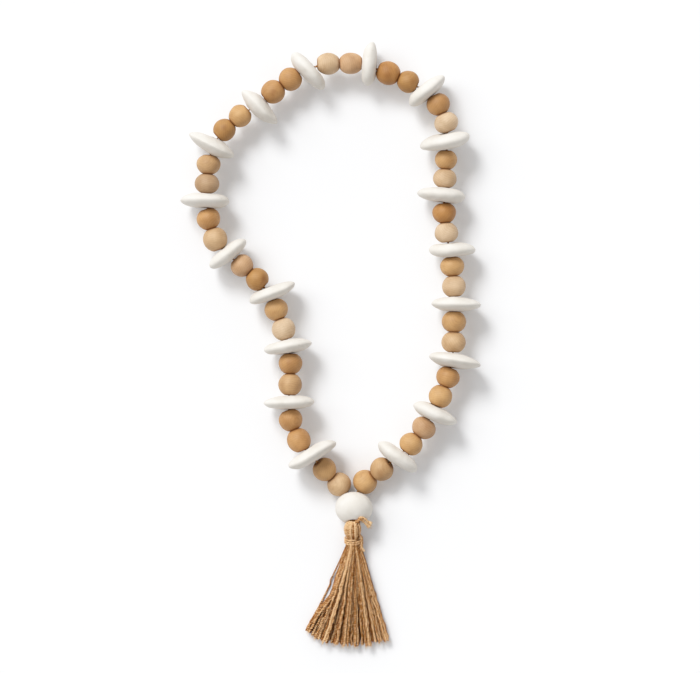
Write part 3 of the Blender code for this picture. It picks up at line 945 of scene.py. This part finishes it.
DISCS = (
    Disc(-0.0166, -0.0952, 27.0, 0.0217, 0.0243, 0.0120, 0.0, 2.00, 0.6),
    Disc(-0.0354, -0.0502, 1.9, 0.0219, 0.0220, 0.0112, 0.0, 2.00, 0.0),
    Disc(-0.0356, -0.0028, 8.7, 0.0213, 0.0209, 0.0110, 2.0, 1.90, 0.1),
    Disc(-0.0525, 0.0418, 22.7, 0.0181, 0.0245, 0.0114, -2.0, 1.90, -0.5),
    Disc(-0.0877, 0.0757, 37.4, 0.0188, 0.0205, 0.0122, 0.0, 1.80, 0.0),
    Disc(-0.1043, 0.1211, -1.7, 0.0242, 0.0188, 0.0122, 3.0, 1.80, 0.0),
    Disc(-0.0994, 0.1677, -27.1, 0.0238, 0.0201, 0.0140, -2.0, 1.25, 0.0),
    Disc(-0.0621, 0.2026, -42.5, 0.0180, 0.0231, 0.0146, 0.0, 1.25, -0.7),
    Disc(-0.0197, 0.2324, -48.8, 0.0192, 0.0217, 0.0128, 2.0, 1.80, 0.2),
    Disc(0.0331, 0.2347, -97.3, 0.0222, 0.0159, 0.0120, -3.0, 2.10, 0.4),
    Disc(0.0807, 0.2136, -140.3, 0.0217, 0.0177, 0.0126, 0.0, 1.80, -0.3),
    Disc(0.0991, 0.1721, -166.4, 0.0202, 0.0240, 0.0130, 4.0, 2.10, -0.8),
    Disc(0.0968, 0.1258, 174.4, 0.0183, 0.0235, 0.0122, -2.0, 2.00, 0.0),
    Disc(0.1014, 0.0794, 180.0, 0.0221, 0.0178, 0.0116, 2.0, 2.20, 0.4),
    Disc(0.1050, 0.0333, 178.3, 0.0234, 0.0196, 0.0120, 0.0, 1.60, 0.0),
    Disc(0.1035, -0.0144, 169.5, 0.0251, 0.0201, 0.0122, -2.0, 1.50, 0.2),
    Disc(0.0868, -0.0587, 157.0, 0.0232, 0.0179, 0.0122, 2.0, 1.80, -0.3),
    Disc(0.0569, -0.0963, 143.9, 0.0208, 0.0202, 0.0128, 0.0, 1.90, 0.2),
)


@dataclass
class WhiteDiscs:
    """The hand-shaped white discs, which stand on their rims."""

    bore: float = 0.0080
    roundness: float = 0.42  # how far a disc's section is a blunt oval, for each unit of its fall
    blunt: float = 2.8  # of that oval: 2 is an ellipse
    most_round: float = 0.9  # share of its thickness that is a blunt oval at most
    rings: int = 22
    segments: int = 80
    solid_sides: int = 16  # of the solids' rims, whose flats the true rims touch
    skew_peak: float = 2.6  # makes the peak of x - x * x * x, for x from 0 to 1, come to 1
    swells: Pair = (0.0008, 75.0)  # by how much, and in how many waves a metre
    dents: Pair = (0.00024, 210.0)

    def shape(self, disc: Disc, number: int) -> bmesh.types.BMesh:
        """Shape one disc about its bore, with +X out of the loop and +Y up."""
        half = disc.thick / 2
        shares = [1 - (1 - step / self.rings) ** 2 for step in range(self.rings)]
        oval = half * min(self.roundness * disc.fall, self.most_round)
        upper = []
        for share in shares:
            height = oval * math.sqrt(1 - share**self.blunt) + (half - oval) * (1 - share**disc.fall)
            upper.append((1 + share, height))
        profile = [*upper, (2.0, 0.0), *((radius, -height) for radius, height in reversed(upper))]
        bm = turned(profile, self.segments)
        reach = (disc.outer + disc.inner) / 2 * math.cos(math.pi / self.solid_sides)
        middle = Vector(((disc.outer - disc.inner) / 2, reach - STRING_HEIGHT))
        for vert in bm.verts:
            way = vert.co.xy.normalized()
            share = vert.co.xy.length - 1
            vert.co.xy = (way * self.bore / 2).lerp(middle + way * reach, share)
            inwards = (middle.x - vert.co.x) / reach
            vert.co.z += disc.skew / 1000 * self.skew_peak * inwards * (1 - inwards**2)
        roughen(bm, 40 + number, *self.swells)
        roughen(bm, 90 + number, *self.dents)
        return bm

    def make(self, paint: bpy.types.Material) -> None:
        """Make every disc."""
        for number, disc in enumerate(DISCS, start=1):
            heading = math.radians(disc.heading)
            outwards = Vector((-math.cos(heading), -math.sin(heading), 0.0))
            along = Matrix.Rotation(math.radians(disc.lean), 3, outwards) @ outwards.cross(UP)
            bm = self.shape(disc, number)
            place = placed(Vector((disc.x, disc.y, STRING_HEIGHT)), outwards, along)
            bmesh.ops.transform(bm, verts=bm.verts, matrix=place)
            rest(bm)
            dressed(f"white_disc_{number:02d}", mesh_of(bm), paint, "white", f"disc_{number:02d}")


@dataclass
class LargeBead:
    """The large white bead that closes the loop, tipped up towards the tassel."""

    diameter: float = 0.0318
    length: float = 0.0246
    bore: float = 0.0092
    mouth: float = 0.0116
    flat: float = 0.0144
    chamfer: float = 0.0012
    flat_edge: float = 0.0009
    mouth_edge: float = 0.0005
    swells: Pair = (0.0005, 60.0)
    dents: Pair = (0.00018, 180.0)
    centre: Vector = Vector((0.0199, -0.1402, 0.0154))
    tip: float = 20.0  # degrees
    apart: float = 0.0013  # of each string from the axis, inside the bore
    shares: tuple[float, ...] = (-0.34, 0.1, 0.42)  # of its length, where a string is guided
    bands: int = 30
    segments: int = 96

    def axis(self) -> Vector:
        """The way its bore runs, from the loop to the tassel."""
        tip = math.radians(self.tip)
        return Vector((0.0, -math.cos(tip), math.sin(tip)))

    def run(self, side: int) -> list[Vector]:
        """Where a string passes through it, from the loop's mouth to the tassel's."""
        apart = Vector((side * self.apart, 0.0, 0.0))
        return [self.centre + apart + self.axis() * share * self.length for share in self.shares]

    def make(self, paint: bpy.types.Material) -> None:
        """Turn the bead and lay it on the floor."""
        half = self.length / 2
        profile = ball_profile(self.diameter / 2, self.flat, half, half, self.bands)
        profile += [(self.mouth / 2, half), (self.bore / 2, half - self.chamfer)]
        profile += [(self.bore / 2, self.chamfer - half), (self.mouth / 2, -half)]
        bm = turned(profile, self.segments)
        for end in (half, -half):
            soften(bm, self.flat / 2, end, self.flat_edge, 3)
            soften(bm, self.mouth / 2, end, self.mouth_edge, 2)
        roughen(bm, 7, *self.swells)
        roughen(bm, 8, *self.dents)
        bmesh.ops.transform(bm, verts=bm.verts, matrix=placed(self.centre, None, self.axis()))
        rest(bm)
        dressed("large_white_bead", mesh_of(bm), paint, "white", "large_bead")


@dataclass
class JuteString:
    """The jute string through every bead, with its knot and its short frayed tail."""

    yarn: Yarn = Yarn(width=0.0021, pitch=0.0052, sides=7)
    knot_yarn: Yarn = Yarn(width=0.0021, pitch=0.0060, plies=3, sides=6)
    fray: Hairs = Hairs(90, (0.0016, 0.0036), (0.82, 0.98), width=0.00018, rise=0.75, yarn_radius=0.0004)
    fluff: Hairs = Hairs(36, (0.0015, 0.0035), (0.1, 0.9), rise=0.6, yarn_radius=0.0008)
    tone: float = 0.16
    knot_tone: float = 0.06
    knot_apart: float = 0.0011  # of each end from the knot's middle
    knot_size: float = 0.00050
    knot_depth: float = 1.6  # of the knot's line, in the same units as its two circles
    knot_lean: Pair = (50.0, 20.0)  # degrees about X and about Z
    knot_steps: int = 40
    tail_apart: Vector = Vector((0.0004, 0.0007, 0.0001))  # of each end from the middle of the two
    tail_opening: float = 0.15  # share of that by which they part further at each point
    tail_tones: Pair = (0.22, 1.05)
    tail_widths: Stops = ((0.0, 0.95), (0.6, 1.05), (0.78, 1.2), (0.9, 1.55), (1.0, 1.9))
    tail: tuple[Triple, ...] = (
        (0.0233, -0.1512, 0.0240),
        (0.0248, -0.1489, 0.0274),
        (0.0273, -0.1492, 0.0257),
        (0.0298, -0.1514, 0.0230),
        (0.0318, -0.1533, 0.0207),
        (0.0336, -0.1546, 0.0190),
    )

    def make(self, bead: LargeBead, middles: list[Vector], jute: bpy.types.Material) -> None:
        """Thread the string, tie its knot and fray its tail.

        Args:
            bead: The large bead, through which both ends run.
            middles: The middles of all beads and discs in the order of the string.
            jute: The yarn's finish.
        """
        apart = Vector((self.knot_apart, 0.0, 0.0))
        points = [KNOT - apart, *reversed(bead.run(-1)), *middles, *bead.run(1), KNOT + apart]
        route = Path(points)
        LOG.info("string: %.3f m from knot to knot", route.length)
        strand = Strand(route, self.tone, self.tone)
        dressed("jute_string", self.yarn.laid([strand], 1), jute, "jute", "string")
        tails = self.tails()
        dressed("string_knot", self.knot_yarn.laid([self.knot(), *tails], 2), jute, "jute")
        paths = [tail.path for tail in tails]
        hairs = self.fray.strands(paths, 3) + self.fluff.strands(paths, 4)
        dressed("string_fray", self.fray.yarn().laid(hairs, 5), jute, "jute")

    def knot(self) -> Strand:
        """The overhand knot."""
        about_x, about_z = (math.radians(lean) for lean in self.knot_lean)
        lean = Matrix.Rotation(about_x, 3, "X") @ Matrix.Rotation(about_z, 3, "Z")
        line = []
        for step in range(self.knot_steps + 1):
            t = math.tau * step / self.knot_steps
            x = math.sin(t) + 2 * math.sin(2 * t)
            y = math.cos(t) - 2 * math.cos(2 * t)
            loop = Vector((x, y, -self.knot_depth * math.sin(3 * t)))
            line.append(KNOT + self.knot_size * (lean @ loop))
        return Strand(Path(line), self.knot_tone, self.knot_tone)

    def tails(self) -> list[Strand]:
        """The two ends that stand out of the knot side by side."""
        made = []
        for side in (-1, 1):
            line = []
            for step, place in enumerate(self.tail):
                line.append(Vector(place) + self.tail_apart * side * (1.0 + self.tail_opening * step))
            made.append(Strand(Path(line), *self.tail_tones, self.tail_widths))
        return made


class HeadRow(NamedTuple):
    """A section across the tassel's head."""

    x: float
    y: float
    height: float
    radius: float


@dataclass(frozen=True)
class Neck:
    """The tassel's head and neck; angles round them are in radians, from the right over the top."""

    rows: tuple[HeadRow, ...] = (
        HeadRow(0.0193, -0.1507, 0.0212, 0.0034),
        HeadRow(0.0191, -0.1521, 0.0204, 0.0050),
        HeadRow(0.0188, -0.1544, 0.0189, 0.0063),
        HeadRow(0.0186, -0.1570, 0.0168, 0.0070),
        HeadRow(0.0186, -0.1599, 0.0144, 0.0069),
        HeadRow(0.0189, -0.1626, 0.0121, 0.0063),
        HeadRow(0.0191, -0.1648, 0.0104, 0.0058),
        HeadRow(0.0193, -0.1710, 0.0080, 0.0057),
    )
    wound: tuple[int, int] = (6, 7)  # the rows that the twine lies between
    twine: Yarn = Yarn(width=0.0014, pitch=0.0040, sides=6, painted_shading=0.5)

    def middles(self) -> list[Vector]:
        """The middles of the sections."""
        return [Vector((row.x, row.y, row.height)) for row in self.rows]

    def axes(self) -> tuple[Vector, Vector, Vector]:
        """The ways across, over and down the neck."""
        start, end = (self.middles()[row] for row in self.wound)
        down = (end - start).normalized()
        side = Vector((1.0, 0.0, 0.0))
        return side, down.cross(side).normalized(), down

    def out(self, angle: float) -> Vector:
        """The way out of the neck at an angle round it."""
        side, over, _ = self.axes()
        return math.cos(angle) * side + math.sin(angle) * over


@dataclass
class TasselHead:
    """The yarns folded over the head, round a core."""

    neck: Neck
    yarn: Yarn = Yarn(width=0.0022, pitch=0.0056, sides=6)
    count: int = 20
    crowding: float = 0.2  # share of their pitch by which they stand nearer or further
    lean: float = 0.14  # radians round the head, from end to end
    high: Pair = (-0.0006, 0.0004)  # how far each stands above the others
    least: float = 0.0004  # its distance from the middle line
    tone: float = 0.60
    tones: Pair = (-0.15, 0.2)
    # painted shade: yarns that sit lower on the head are darker, higher ones lighter
    painted_height_shade: float = 0.35
    # painted light on one side of the head, painted shade on the other
    painted_light_tone: float = 0.3
    lit: float = 2.1  # the angle round the head at which the painted light is strongest
    end_tones: Pair = (0.15, -0.4)  # at the top and at the neck: lighter at the top, and darker at the neck as painted shade under the twine
    widths: Stops = ((0.0, 0.8), (0.15, 1.0), (0.4, 1.08), (0.7, 0.95), (1.0, 0.8))
    over: tuple[float, ...] = (0.05, 0.47)  # angles of the yarns that pass over the twine
    over_sunk: float = 0.98  # share of the head's radius at which they lie on it
    over_lift: float = 0.4  # of their width, from the twine to their middle
    over_shares: tuple[float, ...] = (0.1, 0.55, 1.0)  # of the way along the twine
    over_ends: tuple[Triple, ...] = ((0.0035, 0.95, 0.0), (0.0080, 1.02, 0.0005))  # on, out and down
    over_tones: Pair = (0.75, 0.6)
    over_widths: Stops = ((0.0, 0.6), (0.2, 0.85), (0.85, 0.8), (1.0, 0.5))
    core: Yarn = Yarn(width=0.002, pitch=0.02, plies=1, sides=20, steps=24, painted_shading=0.0)
    core_inset: float = 0.0016
    core_least: float = 0.0006
    core_tone: float = 0.22

    def folded(self) -> list[Strand]:
        """The yarns that end at the neck."""
        chance = random.Random(21)
        strands = []
        for number in range(self.count):
            crowding = chance.uniform(-self.crowding, self.crowding)
            turn = math.tau * (number + crowding) / self.count
            lean = chance.uniform(-self.lean, self.lean)
            high = chance.uniform(*self.high)
            line = []
            for row, middle in enumerate(self.neck.middles()):
                angle = turn + lean * row / len(self.neck.rows)
                reach = max(self.neck.rows[row].radius - self.yarn.width / 2 + high, self.least)
                line.append(middle + reach * self.neck.out(angle))
            # painted shade on the lower-lying yarns, with each yarn's own random tone
            tone = self.tone + self.painted_height_shade * high / abs(self.high[0]) + chance.uniform(*self.tones)
            # painted light on one side of the head and painted shade on the other
            tone += self.painted_light_tone * math.cos(turn - self.lit)
            # painted shade where the yarns run under the twine at the neck
            start, end = (tone + more for more in self.end_tones)
            strands.append(Strand(Path(line), start, end, self.widths))
        return strands

    def crossing(self) -> list[Strand]:
        """The yarns that pass over the twine, on the right."""
        *_, down = self.neck.axes()
        middles = self.neck.middles()
        first, last = self.neck.wound
        reach = self.neck.rows[last].radius + self.neck.twine.width + self.yarn.width * self.over_lift
        strands = []
        for angle in self.over:
            out = self.neck.out(angle)
            radii = [row.radius * self.over_sunk for row in self.neck.rows]
            line = [middles[row] + radii[row] * out for row in range(1, first)]
            for share in self.over_shares:
                line.append(middles[first].lerp(middles[last], share) + reach * out)
            for on, far, low in self.over_ends:
                line.append(middles[last] + down * on + reach * far * out - UP * low)
            strands.append(Strand(Path(line), *self.over_tones, self.over_widths))
        return strands

    def core_strand(self) -> Strand:
        """What the yarns are folded over."""
        middles = self.neck.middles()
        lengths = [0.0, *((b - a).length for a, b in zip(middles, middles[1:]))]
        widths, run = [], 0.0
        for row, length in zip(self.neck.rows, lengths):
            run += length
            radius = max(row.radius - self.core_inset, self.core_least)
            widths.append((run / sum(lengths), radius / (self.core.width / 2)))
        return Strand(Path(middles), self.core_tone, self.core_tone, tuple(widths))

    def make(self, jute: bpy.types.Material) -> list[Path]:
        """Make the head.

        Args:
            jute: The yarns' finish.

        Returns:
            The yarns' lines.
        """
        strands = self.folded() + self.crossing()
        dressed("tassel_head", self.yarn.laid(strands, 22), jute, "jute", "tassel")
        dressed("tassel_core", self.core.laid([self.core_strand()], 23), jute, "jute")
        return [strand.path for strand in strands]


@dataclass
class NeckTwine:
    """The twine wound round the neck, with its short end."""

    neck: Neck
    turns: float = 2.81
    steps: int = 20  # in each turn
    start: float = 1.2  # the angle
    reach: float = 0.75  # from the neck's surface to the twine's middle, in its widths
    uneven: float = 0.00012
    spacing: float = 0.0006
    tones: Pair = (0.80, 0.50)
    end: tuple[Triple, ...] = (
        (0.0254, -0.1716, 0.0112),
        (0.0268, -0.1738, 0.0112),
        (0.0286, -0.1772, 0.0098),
    )
    end_tones: Pair = (0.45, 0.85)
    end_widths: Stops = ((0.0, 1.0), (0.7, 1.1), (1.0, 1.7))

    def make(self, jute: bpy.types.Material) -> Path:
        """Make the twine.

        Args:
            jute: Its finish.

        Returns:
            The line of its end.
        """
        *_, down = self.neck.axes()
        twine = self.neck.twine
        top, bottom = (self.neck.middles()[row] for row in self.neck.wound)
        reach = self.neck.rows[self.neck.wound[0]].radius + twine.width * self.reach
        slack = (bottom - top).length - twine.width
        chance = random.Random(31)
        line = []
        steps = round(self.turns * self.steps)
        for step in range(steps + 1):
            share = step / steps
            uneven = chance.uniform(-self.uneven, self.uneven)
            place = top + down * (twine.width / 2 + slack * share + uneven)
            out = self.neck.out(self.start + math.tau * self.turns * share)
            line.append(place + (reach + uneven) * out)
        wound = Strand(Path(line, self.spacing), *self.tones)
        end = Path([line[-6], *(Vector(place) for place in self.end)])
        loose = Strand(end, *self.end_tones, self.end_widths)
        dressed("neck_twine", twine.laid([wound], 32), jute, "jute", "neck_wrap")
        dressed("twine_end", twine.laid([loose], 33), jute, "jute")
        return end


@dataclass
class Fan:
    """The yarns fanned out on the floor; angles are in degrees, from straight down the picture."""

    neck: Neck
    yarn: Yarn = Yarn(width=0.0019, pitch=0.0040, sides=5, steps=7, painted_shading=0.42)
    under_yarn: Yarn = Yarn(width=0.0019, pitch=0.0040, sides=4, steps=5)
    layers: tuple[int, ...] = (40, 36, 30, 21, 12)  # yarns in each, from the floor up
    lowest_seen: int = 3  # the lowest layer that is made in full
    lowest_parted: int = 2  # the lowest layer that shares in the parting
    root: Vector = Vector((0.0195, -0.1722, 0.0080))
    root_reach: float = 0.0060
    root_depth: float = 0.78  # share of that over which the layers leave the neck
    hidden: Pair = (0.005, 0.0025)  # how far inside the neck its first points are
    hanging_steps: int = 10
    lying_steps: int = 16
    length: float = 0.0850
    cut: Pair = (-0.0015, 0.0007)  # by how much one yarn is longer than another
    short_left: tuple[float, int] = (0.0052, 14)  # by how much the edge is shorter, and how steeply
    short_right: tuple[float, int] = (0.0010, 6)
    touchdown: float = 0.46  # share of its length at which a yarn meets what lies under it
    touch_slope: float = 0.12
    limits: Pair = (-25.4, 16.8)
    sweep: float = 0.78  # share of its angle at which a yarn on the left leaves the neck
    crowding: Pair = (0.144, 0.48)  # shares of the pitch, in the lower layers and in those parted
    rise: float = 0.0021  # from layer to layer
    uneven: float = 0.0013  # how far yarns of a layer leave the neck above and below it
    wave: float = 0.00028
    wave_count: int = 4
    wave_rates: Pair = (3.0, 13.0)
    wave_sizes: Pair = (0.3, 0.9)
    wave_growth: float = 4.0  # from the neck, for each share of the length
    wave_share: float = 0.8  # where the yarn still hangs
    lift: float = 0.00022  # of the waves off the floor
    lift_rate: float = 1.3
    parting: float = -12.4
    parting_width: float = 2.4
    parting_from: float = 0.35  # share of the length
    parting_over: float = 0.3  # and the share over which it opens
    parted: float = 0.0014
    stray_gap: float = 0.0042  # between the leftmost yarn and the others
    stray_middle: float = 0.53
    stray_width: float = 0.14
    stray_reach: float = 3.2  # how much of the fan stands away from it
    stray_wave: float = 0.15
    tones: tuple[float, ...] = (0.16, 0.34, 0.48, 0.60, 0.78)
    tone_spread: float = 0.06
    layer_shade: float = 0.13  # painted shade: how much darker each lower layer is, under those above it
    # painted shade: a yarn that leaves the neck lower in its layer starts darker
    depth_shade: float = 0.3
    end_tones: Pair = (-0.12, 0.02)  # at the neck and at the end; the darker roots are painted shade under the twine
    widths: Stops = ((0.0, 0.75), (0.15, 0.92), (0.5, 1.0), (0.94, 1.05), (0.985, 1.2), (1.0, 0.7))

    def leaves(self, share: float, layer: int, depth: float) -> Vector:
        """Where a yarn leaves the neck, from the same values as its line."""
        side, over, _ = self.neck.axes()
        height = 0.0
        if layer > 0 or share > 0.0:
            height = (2 * layer / (len(self.layers) - 1) - 1) * self.root_reach * self.root_depth
        half = math.sqrt(self.root_reach**2 - height**2)
        return self.root + side * (2 * share - 1) * half + over * (height + self.uneven * depth)

    def cut_length(self, angle: float, chance: random.Random) -> float:
        """How long the yarn at an angle is: the fan is shorter towards both of its edges."""
        left, right = self.limits
        share = (angle - left) / (right - left)
        length = self.length
        for place, (short, steep) in ((1 - share, self.short_left), (share, self.short_right)):
            length -= short * max(place, 0.0) ** steep
        return length + chance.uniform(*self.cut)

    def line(
        self, angle: float, share: float, layer: int, depth: float, chance: random.Random
    ) -> list[Vector]:
        """Where one yarn lies.

        Args:
            angle: Its angle.
            share: Where across the neck it leaves it, from 0 at the left to 1.
            layer: Its layer, from 0 on the floor.
            depth: How high it leaves the neck within its layer, from -1 to 1.
            chance: For its length and its waves.

        Returns:
            Points along it, from inside the neck to its end.
        """
        *_, down = self.neck.axes()
        stray = layer == 0 and share == 0.0
        root = self.leaves(share, layer, depth)
        turn = math.radians(angle)
        sweep = self.sweep if angle < 0 else 1.0
        length = self.cut_length(angle, chance)
        limits = (self.wave_rates, (0.0, math.tau), self.wave_sizes)
        waves = [[chance.uniform(*limit) for limit in limits] for _ in range(self.wave_count)]
        near_stray = math.exp(-(angle - self.limits[0]) / self.stray_reach)

        def level(part: float) -> Vector:
            """The place at a share of the length, on what lies under it."""
            wave, lift = 0.0, 0.0
            for rate, phase, size in waves:
                wave += size * math.sin(math.tau * rate * part + phase)
                lift += size * math.cos(math.tau * rate * part * self.lift_rate + phase)
            aside = self.wave * wave * min(part * self.wave_growth, 1.0)
            if stray:
                aside *= self.stray_wave
            else:
                off = (part - self.stray_middle) / self.stray_width
                aside += self.stray_gap * near_stray * math.exp(-off * off)
            if layer >= self.lowest_parted:
                off = (angle - self.parting) / self.parting_width
                opened = min(max((part - self.parting_from) / self.parting_over, 0.0), 1.0)
                aside += self.parted * math.copysign(math.exp(-off * off), off) * opened
            heading = turn * (sweep + (1 - sweep) * part)
            on = Vector((math.sin(heading), -math.cos(heading), 0.0))
            place = root + on * length * part + UP.cross(on) * aside
            lowest = self.yarn.width / 2
            above = layer * self.rise + self.lift * lift + self.uneven / 2 * depth
            place.z = lowest + max(above, 0.0)
            return place

        touch = level(self.touchdown)
        pull = (touch - root).length / 3
        on = Vector((math.sin(turn * sweep), -math.cos(turn * sweep), 0.0))
        leave = root + (down + Vector((math.tan(turn * sweep), 0.0, 0.0))).normalized() * pull
        arrive = touch - on * pull + UP * (pull * self.touch_slope)
        line = [root - down * inside for inside in self.hidden]
        for step in range(self.hanging_steps):
            t = step / self.hanging_steps
            smooth = (1 - t) ** 3 * root + 3 * (1 - t) ** 2 * t * leave
            smooth += 3 * (1 - t) * t**2 * arrive + t**3 * touch
            part = self.touchdown * t
            smooth.x += (level(part) - root - on * length * part).x * t * self.wave_share
            line.append(smooth)
        for step in range(self.lying_steps + 1):
            line.append(level(self.touchdown + (1 - self.touchdown) * step / self.lying_steps))
        return line

    def make(self, jute: bpy.types.Material) -> list[Path]:
        """Lay the yarns, layer on layer.

        Args:
            jute: Their finish.

        Returns:
            The upper layers' lines.
        """
        chance = random.Random(41)
        upper, lower = [], []
        left, right = self.limits
        for layer, count in enumerate(self.layers):
            pitch = (right - left) / (count - 1)
            crowding = pitch * self.crowding[1 if layer >= self.lowest_parted else 0]
            for number in range(count):
                share = number / (count - 1)
                angle = left + (right - left) * share
                if 0 < number < count - 1:
                    angle += chance.uniform(-crowding, crowding)
                depth = chance.uniform(-1.0, 1.0)
                line = self.line(angle, share, layer, depth, chance)
                tone = chance.choice(self.tones) + chance.uniform(-self.tone_spread, self.tone_spread)
                # painted shade: lower layers darker, save the leftmost yarn of each layer
                if number > 0:
                    tone -= self.layer_shade * (len(self.layers) - 1 - layer)
                # painted shade at the roots, under the twine
                start, end = (tone + more for more in self.end_tones)
                # painted shade on yarns that leave the neck low in their layer
                strand = Strand(Path(line), start + self.depth_shade * depth, end, self.widths)
                (upper if layer >= self.lowest_seen else lower).append(strand)
        dressed("tassel_yarns", self.yarn.laid(upper, 42), jute, "jute", "tassel")
        dressed("tassel_under", self.under_yarn.laid(lower, 43), jute, "jute")
        return [strand.path for strand in upper]


@dataclass
class Tassel:
    """The jute tassel: folded over its head, wound at its neck and fanned out on the floor."""

    neck: Neck = Neck()
    skirt_hairs: Hairs = Hairs(1500, (0.002, 0.007), (0.12, 0.97), rise=0.35)
    end_hairs: Hairs = Hairs(420, (0.0015, 0.004), (0.96, 1.0), rise=0.25, yarn_radius=0.0004)
    head_hairs: Hairs = Hairs(110, (0.0015, 0.004), (0.1, 0.8), rise=0.45)
    twine_hairs: Hairs = Hairs(26, (0.0012, 0.003), (0.4, 1.0), rise=0.6, yarn_radius=0.0005)

    def make(self, jute: bpy.types.Material) -> None:
        """Make the whole tassel."""
        head = TasselHead(self.neck).make(jute)
        end = NeckTwine(self.neck).make(jute)
        skirt = Fan(self.neck).make(jute)
        hairs = self.skirt_hairs.strands(skirt, 51)
        hairs += self.end_hairs.strands(skirt, 52)
        hairs += self.head_hairs.strands(head, 53)
        hairs += self.twine_hairs.strands([end], 54)
        dressed("tassel_hairs", self.skirt_hairs.yarn().laid(hairs, 55), jute, "jute")


# The studio


class Lamp(NamedTuple):
    """A far lamp."""

    name: str
    strength: float
    width: float  # degrees
    travel: Vector  # the way that its light goes


@dataclass(frozen=True)
class Studio:
    """The white floor, the soft key light from the upper left, and the camera straight above."""

    centre_pixel: Pair = (350.0, 336.5)
    origin_pixel: Pair = (330.3, 343.3)
    camera_height: float = 5.0
    key: Lamp = Lamp("key", 1.95, 20.0, Vector((0.45, -0.80, -1.0)))
    side_key: Lamp = Lamp("side_key", 1.0, 36.0, Vector((0.90, -0.55, -1.0)))
    head_fill: Lamp = Lamp("head_fill", 0.5, 40.0, Vector((0.0, -1.0, -0.20)))
    sky: float = 0.59
    knee: float = 0.27  # light above which the picture holds highlights back
    white_level: float = 1.19  # light that it shows as white
    steps: tuple[float, ...] = (0.14, 0.27, 0.42, 0.6, 0.78, 0.95, 1.08)  # lights to set it at
    floor_reach: float = 3.0
    sensor: float = 36.0  # millimetres
    farthest: float = 50.0  # that the camera sees

    def make_floor(self) -> None:
        """Lay the floor."""
        bm = bmesh.new()
        bmesh.ops.create_grid(bm, x_segments=1, y_segments=1, size=self.floor_reach)
        mesh = mesh_of(bm)
        mesh.materials.append(FloorPaint().material())
        floor = in_scene("floor", mesh)

    def hang(self, lamp: Lamp) -> None:
        """Hang one lamp."""
        light = bpy.data.lights.new(lamp.name, "SUN")
        light.energy = lamp.strength
        light.angle = math.radians(lamp.width)
        holder = in_scene(lamp.name, light)
        holder.rotation_mode = "QUATERNION"
        holder.rotation_quaternion = lamp.travel.to_track_quat("-Z", "Y")
        holder.location = -lamp.travel

    def make_lights(self) -> None:
        """Hang the key lights and a low soft one at the head, and light the sky."""
        for lamp in (self.key, self.side_key, self.head_fill):
            self.hang(lamp)
        world = bpy.data.worlds.new("sky")
        world.use_nodes = True
        background = world.node_tree.nodes["Background"]
        background.inputs["Color"].default_value = (1.0, 1.0, 1.0, 1.0)
        background.inputs["Strength"].default_value = self.sky
        bpy.context.scene.world = world

    def make_camera(self) -> None:
        """Set the camera straight above, at the photograph's framing."""
        camera = bpy.data.cameras.new("camera")
        camera.sensor_width = self.sensor
        camera.lens = self.sensor * self.camera_height / (PICTURE_WIDTH * PIXEL)
        camera.clip_end = self.farthest
        holder = in_scene("camera", camera)
        x = (self.centre_pixel[0] - self.origin_pixel[0]) * PIXEL
        y = (self.origin_pixel[1] - self.centre_pixel[1]) * PIXEL
        holder.location = (x, y, STRING_HEIGHT + self.camera_height)
        bpy.context.scene.camera = holder

    def make(self) -> None:
        """Make the whole studio."""
        self.make_floor()
        self.make_lights()
        self.make_camera()
        self.make_view()

    def shown(self, light: float) -> float:
        """How bright the picture shows a light, from 0 to 1."""
        span = self.white_level - self.knee
        left = 1.0 - max(light - self.knee, 0.0) / span
        return min(light, self.knee) + (1.0 - self.knee) * (1.0 - left ** (span / (1.0 - self.knee)))

    def make_view(self) -> None:
        """Hold the highlights back, as the photograph does."""
        view = bpy.context.scene.view_settings
        view.view_transform = "Standard"
        view.use_curve_mapping = True
        view.curve_mapping.white_level = (self.white_level,) * 3
        points = view.curve_mapping.curves[3].points
        for light in self.steps:
            points.new(light / self.white_level, self.shown(light))
        view.curve_mapping.update()


def string_order() -> list[Vector]:
    """The middles of the beads and discs, in the order in which the string passes them."""
    numbers = range(1, len(WoodBeads.looks) + 1)
    woods = [turned_place(f"wood_bead_{number:02d}").middle for number in numbers]
    order = woods[:2]
    for number, disc in enumerate(DISCS):
        order.append(Vector((disc.x, disc.y, STRING_HEIGHT)))
        order += woods[2 * number + 2 : 2 * number + 4]
    return order


def main() -> None:
    """Make the studio and every piece of the garland."""
    logging.basicConfig(level=logging.INFO, format="%(name)s %(message)s")
    Studio().make()
    paint, jute = ChalkPaint().material(), Jute().material()
    middles = string_order()
    WoodBeads().make()
    WhiteDiscs().make(paint)
    bead = LargeBead()
    bead.make(paint)
    JuteString().make(bead, middles, jute)
    Tassel().make(jute)


if __name__ == "__main__":
    main()
